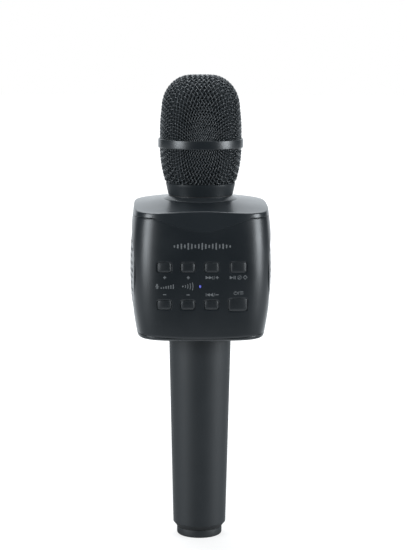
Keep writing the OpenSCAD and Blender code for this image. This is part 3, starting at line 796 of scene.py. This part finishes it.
def upper_line(inset, low_z):
    """The upper basket's outside from its crown down to low_z, moved in by inset, as (r, z)."""
    corner_z = HEAD_TOP_Z - BASKET_CORNER_H
    corner_c = BASKET_R - BASKET_TAPER - BASKET_CORNER_W
    points = [(0.0, HEAD_TOP_Z - inset)]
    for turn in np.radians(np.linspace(90, 0, 61)):
        points.append((corner_c + (BASKET_CORNER_W - inset) * math.cos(turn),
                       corner_z + (BASKET_CORNER_H - inset) * math.sin(turn)))
    for z in np.linspace(corner_z, low_z, 60)[1:]:
        rise = max(z - BASKET_STRAIGHT_Z, 0) / (corner_z - BASKET_STRAIGHT_Z)
        points.append((BASKET_R - inset - BASKET_TAPER * rise ** 2, z))
    return np.array(points)


def lower_r(z, inset):
    return BASKET_R - inset - BASKET_LOW_CURVE * max(BASKET_LOW_Z - z, 0) ** 2


def lower_profile():
    """The lower weave's middle line, from the bowl's bottom that the neck cuts off up to inside the ring."""
    bowl_r = 17.0
    tangent = math.atan(2 * BASKET_LOW_CURVE * (BASKET_LOW_Z - COLLAR_Z))
    inset = WIRE_D

    def wall_r(z):
        tuck = min(max((COLLAR_Z + 1.4 - z) / 1.8, 0), 1)
        return lower_r(z, inset) - 0.9 * tuck * tuck * (3 - 2 * tuck)

    low_z = COLLAR_Z - 0.8
    centre_r = wall_r(low_z) - bowl_r * math.cos(tangent)
    centre_z = low_z + bowl_r * math.sin(tangent)
    points = [(0.0, centre_z - bowl_r)]
    points += arc(centre_r, centre_z, bowl_r, -90, -math.degrees(tangent), 60)
    points += [(wall_r(z), z) for z in np.linspace(low_z, RING_TOP_Z + 3, 80)[1:]]
    return np.array(points)


class Surface:
    """A surface of revolution, by distance s along its profile from the pole and turn f."""

    def __init__(self, profile):
        self.profile = profile
        steps = np.hypot(*np.diff(profile, axis=0).T)
        self.s = np.concatenate([[0], np.cumsum(steps)])

    def line(self, s):
        return np.interp(s, self.s, self.profile[:, 0]), np.interp(s, self.s, self.profile[:, 1])

    def point(self, s, f):
        r, z = self.line(s)
        return np.array([r * math.cos(f), r * math.sin(f), z])

    def slope(self, s):
        middle = min(max(s, 0.3), self.s[-1] - 0.3)
        (r0, z0), (r1, z1) = self.line(middle - 0.3), self.line(middle + 0.3)
        length = math.hypot(r1 - r0, z1 - z0)
        return (r1 - r0) / length, (z1 - z0) / length


def drape(surface, keep):
    """One quarter of a square weave laid over a surface from its pole, as {(i, j): (s, f)}.

    Wires keep their pitch where they cross, which shears the squares as they come down between the
    two wires that pass over the pole. The pitch is stretched where the crown turns down.
    """
    def pitch(s):
        return WIRE_PITCH * (1 + WIRE_STRETCH * math.exp(-((s - STRETCH_AT) / STRETCH_REACH) ** 2))

    nodes = {(0, 0): (0.0, math.pi / 4)}
    reach = 0.0
    count = 1
    while reach < surface.s[-1] - 3:
        reach += pitch(reach + 1)
        nodes[count, 0] = (reach, 0.0)
        nodes[0, count] = (reach, math.pi / 2)
        count += 1
    for total in range(2, 2 * count):
        for i in range(1, total):
            j = total - i
            before = [nodes.get(k) for k in ((i - 1, j), (i, j - 1), (i - 1, j - 1))]
            if None in before or i >= count or j >= count:
                continue
            (sa, fa), (sb, fb), (sc, fc) = before
            a, b, c = surface.point(sa, fa), surface.point(sb, fb), surface.point(sc, fc)
            guess = a + b - c
            s, f = sa + sb - sc, math.atan2(guess[1], guess[0])
            for _ in range(12):
                p = surface.point(s, f)
                r, _z = surface.line(s)
                dr, dz = surface.slope(s)
                ds = np.array([dr * math.cos(f), dr * math.sin(f), dz])
                df = np.array([-r * math.sin(f), r * math.cos(f), 0])
                miss = np.array([(p - a) @ (p - a) - pitch((s + sa) / 2) ** 2,
                                 (p - b) @ (p - b) - pitch((s + sb) / 2) ** 2])
                turn = 2 * np.array([[(p - a) @ ds, (p - a) @ df], [(p - b) @ ds, (p - b) @ df]])
                if abs(np.linalg.det(turn)) < 1e-6:
                    break
                step = np.clip(np.linalg.solve(turn, -miss), [-1, -0.2], [1, 0.2])
                s, f = s + step[0], f + step[1]
            p = surface.point(s, f)
            if abs((p - a) @ (p - a) - pitch(s) ** 2) < 0.5 and keep(p[2]):
                nodes[i, j] = (s, f)
    return nodes


def weave(name, profile, shown, stands_for):
    """Woven wire over a surface of revolution: every wire goes over one and under the next."""
    surface = Surface(profile)
    quarter = drape(surface, lambda z: RING_LOW_Z - 3 < z or profile[0][1] < RING_LOW_Z)
    sides, parts = 6, 4
    outward = 1 if profile[0][1] > profile[-1][1] else -1

    def node(i, j):
        """Point and outward direction of a crossing in any quarter."""
        turn = -math.pi / 4
        while not (i >= 0 and j >= 0):
            i, j, turn = -j, i, turn - math.pi / 2
        if (i, j) not in quarter:
            return None
        s, f = quarter[i, j]
        point = surface.point(s, f + turn)
        dr, dz = surface.slope(s)
        f += turn
        normal = np.array([-dz * math.cos(f), -dz * math.sin(f), dr]) * outward
        return point, normal

    limit = max(max(k) for k in quarter) + 1
    verts, faces = [], []
    for family in (0, 1):
        for j in range(-limit, limit + 1):
            run = []
            for i in range(-limit, limit + 2):
                found = node(i, j) if family == 0 else node(j, i)
                if found is not None and shown[0] < found[0][2] < shown[1]:
                    sign = 1 if (i + j + family) % 2 == 0 else -1
                    run.append((*found, sign))
                    continue
                if len(run) >= 3:
                    add_wire(verts, faces, run, sides, parts)
                run = []
    piece(name, verts, faces, "head", "basket_wire", [stands_for], sharp=80.0)


def add_wire(verts, faces, run, sides, parts):
    points = np.array([r[0] for r in run])
    normals = np.array([r[1] for r in run])
    signs = np.array([r[2] for r in run], float)
    t = np.arange((len(run) - 1) * parts + 1) / parts
    k = np.minimum(t.astype(int), len(run) - 2)
    w = (t - k)[:, None]
    line = points[k] * (1 - w) + points[k + 1] * w
    normal = normals[k] * (1 - w) + normals[k + 1] * w
    normal /= np.linalg.norm(normal, axis=1)[:, None]
    line = line + normal * (signs[k] * np.cos(np.pi * w[:, 0]) * WIRE_D * 0.5)[:, None]
    along = np.gradient(line, axis=0)
    along /= np.linalg.norm(along, axis=1)[:, None]
    side = np.cross(normal, along)
    side /= np.linalg.norm(side, axis=1)[:, None]
    up = np.cross(along, side)
    base = len(verts)
    turns = 2 * np.pi * np.arange(sides) / sides
    rings = line[:, None] + WIRE_D / 2 * (np.cos(turns)[None, :, None] * side[:, None]
                                          + np.sin(turns)[None, :, None] * up[:, None])
    verts.extend(rings.reshape(-1, 3).tolist())
    faces.extend(quads(len(line), sides, wrap_cols=False, base=base))
    faces.append(tuple(base + k for k in range(sides)))
    end = base + (len(line) - 1) * sides
    faces.append(tuple(end + k for k in reversed(range(sides))))


def foam_liner():
    """The open-cell foam inside the weave, with an uneven surface."""
    outer = [tuple(p) for p in upper_line(FOAM_INSET, BASKET_LOW_Z + 1)[::-1] if p[0] > 0.3]
    below = [(lower_r(z, FOAM_INSET), z) for z in np.linspace(FOAM_LOW_Z, BASKET_LOW_Z, 24)]
    outline = below + outer
    inner_top = HEAD_TOP_Z - FOAM_INSET - FOAM_WALL
    inner = [(max(r - FOAM_WALL, 0.3), min(z, inner_top)) for r, z in reversed(outline)]
    rng = np.random.default_rng(7)
    verts, columns = [], 160
    for k in range(columns):
        turn = 2 * math.pi * k / columns
        for r, z in outline + inner:
            rough = rng.uniform(-2, 0) * FOAM_ROUGH
            verts.append(((r + rough) * math.cos(turn), (r + rough) * math.sin(turn), z + rough / 2))
    rows = len(outline) + len(inner)
    foam = piece("foam_liner", verts, quads(columns, rows), "head", "foam", ["foam_windscreen"], sharp=180.0)


def head():
    weave("upper_weave", upper_line(WIRE_D, RING_LOW_Z - 3), (RING_LOW_Z + 1.2, 300.0), "upper_basket")
    foam_liner()
    weave("lower_weave", lower_profile(), (COLLAR_Z - 0.9, RING_TOP_Z - 1.2), "lower_basket")
    edge = 0.45
    bore_r = BASKET_R + RING_CLEARANCE
    ring = arc(RING_R - edge, RING_LOW_Z + edge, edge, -90, 0, 5)
    ring += arc(RING_R - edge, RING_TOP_Z - edge, edge, 0, 90, 5)
    ring += [(bore_r, RING_TOP_Z), (bore_r, RING_RIB_TOP_Z), (RING_RIB_R, RING_RIB_TOP_Z),
             (RING_RIB_R, RING_RIB_LOW_Z), (bore_r, RING_RIB_LOW_Z), (bore_r, RING_LOW_Z)]
    lathe("middle_ring", ring, "head", "ring_metal", ["grille_ring"])
    low = NECK_Z + COLLAR_GAP
    edge = 0.3
    collar = [(COLLAR_BORE_R, low), (COLLAR_LOW_R - edge, low)]
    collar += arc(COLLAR_LOW_R - edge, low + edge, edge, -75, 0, 4)
    for t in (0.25, 0.5, 0.75):
        collar.append((mixed(COLLAR_LOW_R, COLLAR_TOP_R, t), mixed(low + edge, COLLAR_Z - edge, t)))
    collar += arc(COLLAR_TOP_R - edge, COLLAR_Z - edge, edge, 0, 90, 4)
    collar += [(COLLAR_SEAT_R, COLLAR_Z), (COLLAR_SEAT_R, COLLAR_SEAT_Z), (COLLAR_LEDGE_R, COLLAR_SEAT_Z),
               (COLLAR_LEDGE_R, COLLAR_LEDGE_Z), (COLLAR_BORE_R, COLLAR_LEDGE_Z)]
    lathe("head_collar", collar, "head", "handle_plastic", ["grille_collar"], look="collar_plastic")


# ---------- handle ----------

def handle():
    top = BOSS_LOW_Z - 0.1
    foot_r, foot_z, bore_r = 13.3, 5.2, 12.05
    collar_r, collar_bore_r = 17.8, 15.8
    outline = [(bore_r, foot_z), (foot_r, foot_z)] + arc(foot_r, foot_z + 0.3, 0.3, -70, -35, 2)
    outline += [(14.55, 6.65)] + arc(HANDLE_LOW_R - 0.9, HANDLE_LOW_Z + 0.35, 0.9, -50, 0, 6)
    outline += [(mixed(HANDLE_LOW_R, HANDLE_TOP_R, t), mixed(HANDLE_LOW_Z, top, t))
                for t in np.linspace(0.03, 1, 24)]
    outline += [(collar_r, top), (collar_r, 130), (collar_bore_r, 130), (collar_bore_r, 117)]
    outline += [(13.55, 20), (bore_r, 15.2)]
    lathe("handle_skin", outline, "root", "handle_plastic", ["handle_tube"], sharp=30.0)
    edge, lip = 1.4, 0.4
    rim_z, floor_z, sleeve_z = 4.3, 3.0, 10.9
    sleeve_r, sleeve_bore_r = 12.0, 9.8
    cap = [(0.05, 0.0)] + arc(END_CAP_R - edge, edge, edge, -90, 0, 8)
    cap += [(END_CAP_R, rim_z)] + arc(END_CAP_R - lip, rim_z, lip, 30, 90, 3)
    cap += [(sleeve_r, rim_z + lip), (sleeve_r, sleeve_z - 0.5), (sleeve_r - 0.5, sleeve_z)]
    cap += [(sleeve_bore_r, sleeve_z), (sleeve_bore_r, floor_z), (0.05, floor_z)]
    lathe("end_cap_skin", cap, "end_cap", "handle_plastic", ["end_cap"])


# ---------- buttons ----------

def round_outline(w, h, r, corner_steps=8, side_steps=8):
    """Points round a rectangle with round corners, counterclockwise from its right side."""
    outline = []
    for cx, cz, start, run in ((1, 1, 0, w), (-1, 1, 90, h), (-1, -1, 180, w), (1, -1, 270, h)):
        outline += arc(cx * (w / 2 - r), cz * (h / 2 - r), r, start, start + 90, corner_steps)
        along = math.radians(start + 180)
        x, z = outline[-1]
        for k in range(1, side_steps):
            step = (run - 2 * r) * k / side_steps
            outline.append((x + step * math.cos(along), z + step * math.sin(along)))
    return np.array(outline)


def button_cap(name, x, z, w, h):
    """A cap that follows the panel, with soft sides and foot and a crisp top edge."""
    dx, dz = round_outline(w, h, BUTTON_CORNER_R).T * 1.2
    top = np.clip((dz / np.hypot(dx / w * h, dz) - 0.55) / 0.35, 0, 1)
    top = top * top * (3 - 2 * top)
    roll, deep = mixed(SIDE_ROLL, TOP_ROLL, top), mixed(SIDE_ROLL_DEPTH, TOP_ROLL, top)
    verts = []

    def ring(px, pz, drop):
        u, v = np.abs(px) / (w / 2), pz / (h / 2)
        pillow = 0.5 * u ** 2.5 + 0.1 * np.abs(v) ** 3 + 0.28 * np.clip(v, 0, 1) ** 2
        y = -(front_y(x + px, z + pz) + BUTTON_PROUD) + drop + pillow
        verts.extend(zip(x + px, y, z + pz))

    ring(*ray_ring(dx, dz, w, h, BUTTON_CORNER_R, 0), 2.8)
    for t in np.radians(np.linspace(0, 90, 9)):
        px, pz = ray_ring(dx, dz, w, h, BUTTON_CORNER_R, -roll * (1 - math.cos(t)))
        ring(px, pz, deep * (1 - math.sin(t)))
    for k in (0.85, 0.7, 0.55, 0.4, 0.25, 0.1):
        ring(px * k, pz * k, 0)
    count = len(px)
    faces = ring_bands(len(verts) // count, count)
    piece(f"{name}_cap", verts, faces, name, "button_plastic", [f"{name}_button"])


def led_lens():
    r, straight = LED_W / 2, LED_H / 2 - LED_W / 2
    px, pz = np.array(arc(0, straight, r, 0, 180, 14) + arc(0, -straight, r, 180, 360, 14)).T
    verts = []
    for k, drop in ((1, 9.5), (1, 0.0), (0.95, -0.12), (0.8, -0.26), (0.55, -0.38), (0.25, -0.44)):
        y = -front_y(LED_X, LED_Z) + drop
        verts.extend([(LED_X + k * a, y, LED_Z + k * b) for a, b in zip(px, pz)])
    piece("led_lens", verts, ring_bands(len(verts) // len(px), len(px)), "root", "led", ["status_led"])


# ---------- printed marks ----------

class Print:
    """Flat marks printed on the front panel, each a thin closed prism on the curved skin."""

    def __init__(self):
        self.verts, self.faces = [], []

    def shape(self, outline):
        """A filled outline of (x, z) points, counterclockwise as seen from the front."""
        base, n = len(self.verts), len(outline)
        for lift in (PRINT_LIFT, -PRINT_SINK):
            self.verts += [(x, -(front_y(x, z) + lift), z) for x, z in outline]
        self.faces.append(tuple(range(base, base + n)))
        self.faces.append(tuple(reversed(range(base + n, base + 2 * n))))
        for k in range(n):
            m = (k + 1) % n
            self.faces.append((base + k, base + n + k, base + n + m, base + m))

    def stroke(self, points, width):
        """A line of one width along (x, z) points, filled as one outline."""
        points = np.asarray(points, float)
        along = np.gradient(points, axis=0)
        along /= np.linalg.norm(along, axis=1)[:, None]
        side = np.stack([-along[:, 1], along[:, 0]], axis=1) * width / 2
        right, left = points - side, points + side
        self.shape([*map(tuple, right), *map(tuple, left[::-1])])

    def ring(self, x, z, r, width, start=0, stop=360):
        middle = (start + stop) / 2
        self.stroke(arc(x, z, r, start, middle, 16), width)
        self.stroke(arc(x, z, r, middle, stop, 16), width)

    def bar(self, x, z, w, h):
        u, v = w / 2, h / 2
        self.shape([(x - u, z - v), (x + u, z - v), (x + u, z + v), (x - u, z + v)])

    def plus(self, x, z, size, width):
        self.bar(x, z, size, width)
        rest = (size - width) / 2
        for sign in (-1, 1):
            self.bar(x, z + sign * (width + rest) / 2, width, rest)

    def arrow(self, x, z, size, way):
        half, reach = size / 2, way * size / 2
        points = [(x - reach, z - half), (x + reach, z), (x - reach, z + half)]
        self.shape(points if way > 0 else points[::-1])

    def diamond(self, x, z, r, width):
        corners = [(x + r, z), (x, z + r), (x - r, z), (x, z - r)]
        inner = [(x + r - width, z), (x, z + r - width), (x - r + width, z), (x, z - r + width)]
        for k in range(4):
            m = (k + 1) % 4
            self.shape([corners[k], corners[m], inner[m], inner[k]])

    def pill(self, x, z, w, h):
        r = w / 2
        self.shape(arc(x, z + h / 2 - r, r, 0, 180, 8) + arc(x, z - h / 2 + r, r, 180, 360, 8))


def printed_marks():
    ink = Print()
    thin, line = 0.28, 0.42
    mic_x, echo_x, skip_x, play_x = -21.2, -8.0, 5.6, 20.4
    top_z, mid_z, low_z = 158.0, 153.0, 148.2
    for x in (mic_x, echo_x):
        ink.plus(x, top_z, 1.7, 0.55)
        ink.bar(x, low_z, 1.9, 0.55)
    # microphone level: a small microphone and rising bars
    ink.pill(mic_x - 4.2, mid_z + 0.35, 1.0, 1.9)
    ink.ring(mic_x - 4.2, mid_z + 0.1, 0.95, thin, 190, 350)
    ink.bar(mic_x - 4.2, mid_z - 1.1, thin, 0.45)
    ink.bar(mic_x - 4.2, mid_z - 1.4, 1.3, thin)
    for k in range(6):
        height = 0.7 + 0.36 * k
        ink.bar(mic_x - 1.9 + 1.35 * k, mid_z - 1.4 + height / 2, 0.62, height)
    # echo: a dot and spreading arcs
    ink.pill(echo_x - 3.0, mid_z, 0.9, 0.92)
    for r in (1.5, 2.9, 4.3, 5.7):
        ink.ring(echo_x - 3.0, mid_z, r, line, -20 - 18 / r, 20 + 18 / r)
    # next and previous, each sharing its key with a sign
    for z, way in ((top_z, 1), (low_z, -1)):
        middle = skip_x - 1.75
        ink.arrow(middle - way * 1.15, z, 1.9, way)
        ink.arrow(middle + way * 0.65, z, 1.9, way)
        ink.bar(middle + way * 1.8, z, 0.3, 1.9)
        ink.stroke([(skip_x + 0.75, z - 1.0), (skip_x + 1.25, z + 1.0)], thin)
    ink.plus(skip_x + 2.65, top_z, 1.7, 0.5)
    ink.bar(skip_x + 2.6, low_z, 1.9, 0.5)
    # play and pause, silence, and repeat
    ink.arrow(play_x - 4.2, top_z, 1.9, 1)
    ink.bar(play_x - 2.9, top_z, 0.28, 1.9)
    ink.bar(play_x - 2.1, top_z, 0.5, 1.9)
    ink.ring(play_x + 0.4, top_z, 1.0, thin)
    ink.stroke([(play_x - 0.55, top_z - 0.95), (play_x + 1.35, top_z + 0.95)], thin)
    ink.diamond(play_x + 3.6, top_z, 1.35, 0.5)
    # power, and a list of sources
    ink.ring(play_x - 1.7, low_z + 0.9, 0.95, thin, 120, 420)
    ink.bar(play_x - 1.7, low_z + 1.55, thin, 1.1)
    ink.stroke([(play_x - 0.35, low_z), (play_x + 0.2, low_z + 1.9)], thin)
    for k in range(3):
        ink.bar(play_x + 1.75, low_z + 0.25 + 0.7 * k, 1.9, thin)
    # a row of level bars in the middle of the panel
    heights = (1.4, 2.3, 3.1, 2.2, 3.9, 3.0, 1.9, 2.8, 4.0, 2.9, 2.0, 3.0, 3.9, 2.3, 3.1, 2.2, 1.4)
    for k, height in enumerate(heights):
        ink.pill(-0.2 + 1.95 * (k - (len(heights) - 1) / 2), 175.6, 0.85, height)
    piece("panel_print", ink.verts, ink.faces, "root", "plunger_plastic", sharp=30.0, look="print_ink")


# ---------- CAD nodes that stay ----------

def dress_nodes():
    """Gives every CAD node its slot's material."""
    for part in frame["record"]["subparts"]:
        obj = frame["nodes"][part["node"]]
        obj.data.materials.clear()
        obj.data.materials.append(MATERIALS[part["material_slot"]])


# ---------- camera, lights and floor ----------

def camera():
    distance, height, azimuth = 1.026, 0.3018, math.radians(-2.0)
    tilt, yaw, roll = 8.19, math.radians(0.107), math.radians(0.225)
    data = bpy.data.cameras.new("camera")
    data.sensor_width = 36.0
    data.lens = 116.8
    data.clip_start, data.clip_end = 0.05, 50
    obj = placed("camera", data)
    obj.location = (distance * math.sin(azimuth), -distance * math.cos(azimuth), height)
    aim = Euler((math.radians(90 - tilt), 0, azimuth - yaw)).to_matrix()
    obj.rotation_euler = (aim @ Matrix.Rotation(roll, 3, "Z")).to_euler()
    bpy.context.scene.camera = obj


def softbox(name, azimuth, distance, height, size, power):
    """A rectangular light at an azimuth round the object, 0 in front, facing its axis."""
    data = bpy.data.lights.new(name, "AREA")
    data.shape = "RECTANGLE"
    data.size, data.size_y = size
    data.energy = power
    data.color = LIGHT_TINT
    obj = placed(name, data)
    a = math.radians(azimuth)
    obj.location = (distance * math.sin(a), -distance * math.cos(a), height)
    obj.rotation_euler = (math.radians(90), 0, a)
    return obj


def math_node(tree, operation, a, b=0.0):
    node = tree.nodes.new("ShaderNodeMath")
    node.operation = operation
    for socket, value in zip(node.inputs, (a, b)):
        if isinstance(value, (int, float)):
            socket.default_value = value
        else:
            tree.links.new(value, socket)
    return node.outputs["Value"]


def fade(tree, value, start, stop, low=0.0, high=1.0):
    """Goes smoothly from low to high as the value goes from start to stop."""
    remap = tree.nodes.new("ShaderNodeMapRange")
    remap.interpolation_type = "SMOOTHSTEP"
    for key, number in (("From Min", start), ("From Max", stop), ("To Min", low), ("To Max", high)):
        remap.inputs[key].default_value = number
    tree.links.new(value, remap.inputs["Value"])
    return remap.outputs["Result"]


def studio():
    """A dark studio with a white backdrop behind the object and a pale glow from the floor."""
    bpy.context.scene.view_settings.view_transform = "Standard"
    world = bpy.data.worlds.new("studio")
    bpy.context.scene.world = world
    world.use_nodes = True
    tree = world.node_tree
    tree.nodes.clear()
    out = tree.nodes.new("ShaderNodeOutputWorld")
    seen = tree.nodes.new("ShaderNodeBackground")
    seen.inputs["Strength"].default_value = 1.0
    seen.inputs["Color"].default_value = (1, 1, 1, 1)
    lit = tree.nodes.new("ShaderNodeBackground")
    lit.inputs["Color"].default_value = (*LIGHT_TINT, 1)
    coords = tree.nodes.new("ShaderNodeTexCoord")
    split = tree.nodes.new("ShaderNodeSeparateXYZ")
    tree.links.new(coords.outputs["Generated"], split.inputs["Vector"])
    x, y, z = (split.outputs[k] for k in "XYZ")

    def by_height(start, stop, low=0.0, high=1.0):
        return fade(tree, z, math.sin(math.radians(start)), math.sin(math.radians(stop)), low, high)

    def by_turn(start, stop):
        """Turn is measured from straight behind the object, so its front is at 180."""
        return fade(tree, turn, math.radians(start), math.radians(stop))

    turn = math_node(tree, "ABSOLUTE", math_node(tree, "ARCTAN2", x, y))
    backdrop = math_node(tree, "MULTIPLY", by_height(-38, -22), by_height(70, 48, 0.0, BACKDROP_LIGHT))
    backdrop = math_node(tree, "MULTIPLY", backdrop, by_turn(BACKDROP_HALF_DEG + 12, BACKDROP_HALF_DEG))
    side = math_node(tree, "MULTIPLY", by_height(-2, -14, 0.0, SIDE_GLOW), by_height(-30, -20))
    side = math_node(tree, "MULTIPLY", side, by_turn(140, 105))
    ground = math_node(tree, "MAXIMUM", side, by_height(-22, -62, 0.0, FLOOR_GLOW))
    glow = math_node(tree, "MAXIMUM", backdrop, ground)
    glow = math_node(tree, "ADD", glow, by_height(45, 82, 0.0, CEILING_GLOW))
    tree.links.new(math_node(tree, "ADD", glow, ROOM_LIGHT), lit.inputs["Strength"])
    path = tree.nodes.new("ShaderNodeLightPath")
    mix = tree.nodes.new("ShaderNodeMixShader")
    tree.links.new(path.outputs["Is Camera Ray"], mix.inputs["Fac"])
    tree.links.new(lit.outputs["Background"], mix.inputs[1])
    tree.links.new(seen.outputs["Background"], mix.inputs[2])
    tree.links.new(mix.outputs["Shader"], out.inputs["Surface"])
    softbox("left_softbox", -62, 1.1, 0.34, (0.5, 0.66), 10.8)
    softbox("right_softbox", 70, 1.1, 0.34, (0.45, 0.66), 12.4)
    top = softbox("top_softbox", -166, 0.55, 1.4, (0.9, 0.7), 15.5)
    top.rotation_euler = (math.radians(-20), 0, 0)


def flat_stage(name, verts, color):
    """A flat piece of the set, and its material's node tree and shader."""
    mesh = bpy.data.meshes.new(name)
    mesh.from_pydata(verts, [], [tuple(range(len(verts)))])
    obj = placed(name, mesh)
    material, tree, shader = new_material(name, color, 1.0)
    shader.inputs["Specular IOR Level"].default_value = 0.0
    mesh.materials.append(material)
    return obj, tree, shader


def floor():
    """The pale floor. It is left out of reflections, where the studio's own glow stands for it.

    A dark disc that only reflections see stands for the shade under the foot.
    """
    size = 6.0
    corners = [(-size, -size, 0), (size, -size, 0), (size, size, 0), (-size, size, 0)]
    obj, tree, shader = flat_stage("floor", corners, (0.22, 0.22, 0.22))
    coords = tree.nodes.new("ShaderNodeTexCoord")
    length = tree.nodes.new("ShaderNodeVectorMath")
    length.operation = "LENGTH"
    tree.links.new(coords.outputs["Object"], length.inputs[0])
    white = fade(tree, length.outputs["Value"], 0.1, 0.5, FLOOR_WHITE, 1.05)
    tree.links.new(white, shader.inputs["Emission Strength"])
    shader.inputs["Emission Color"].default_value = (1, 1, 1, 1)
    obj.visible_glossy = False
    obj.visible_diffuse = False
    disc = [(x, y, 0.0004) for x, y in arc(0, 0, 0.022, 0, 352.5, 47)]
    shade, tree, shader = flat_stage("foot_shade", disc, (0.01, 0.01, 0.01))
    shader.inputs["Emission Color"].default_value = (1, 1, 1, 1)
    shader.inputs["Emission Strength"].default_value = FOOT_SHADE
    shade.visible_camera = False
    shade.visible_shadow = False
    shade.visible_diffuse = False


camera()
studio()
floor()
dress_nodes()
head()
top_cap()
front_shell()
rear_shell()
screw_wells()
usb_tongue()
bottom_cap()
for side in ("left", "right"):
    speaker_grille(side)
for button in BUTTONS:
    button_cap(*button)
led_lens()
printed_marks()
handle()
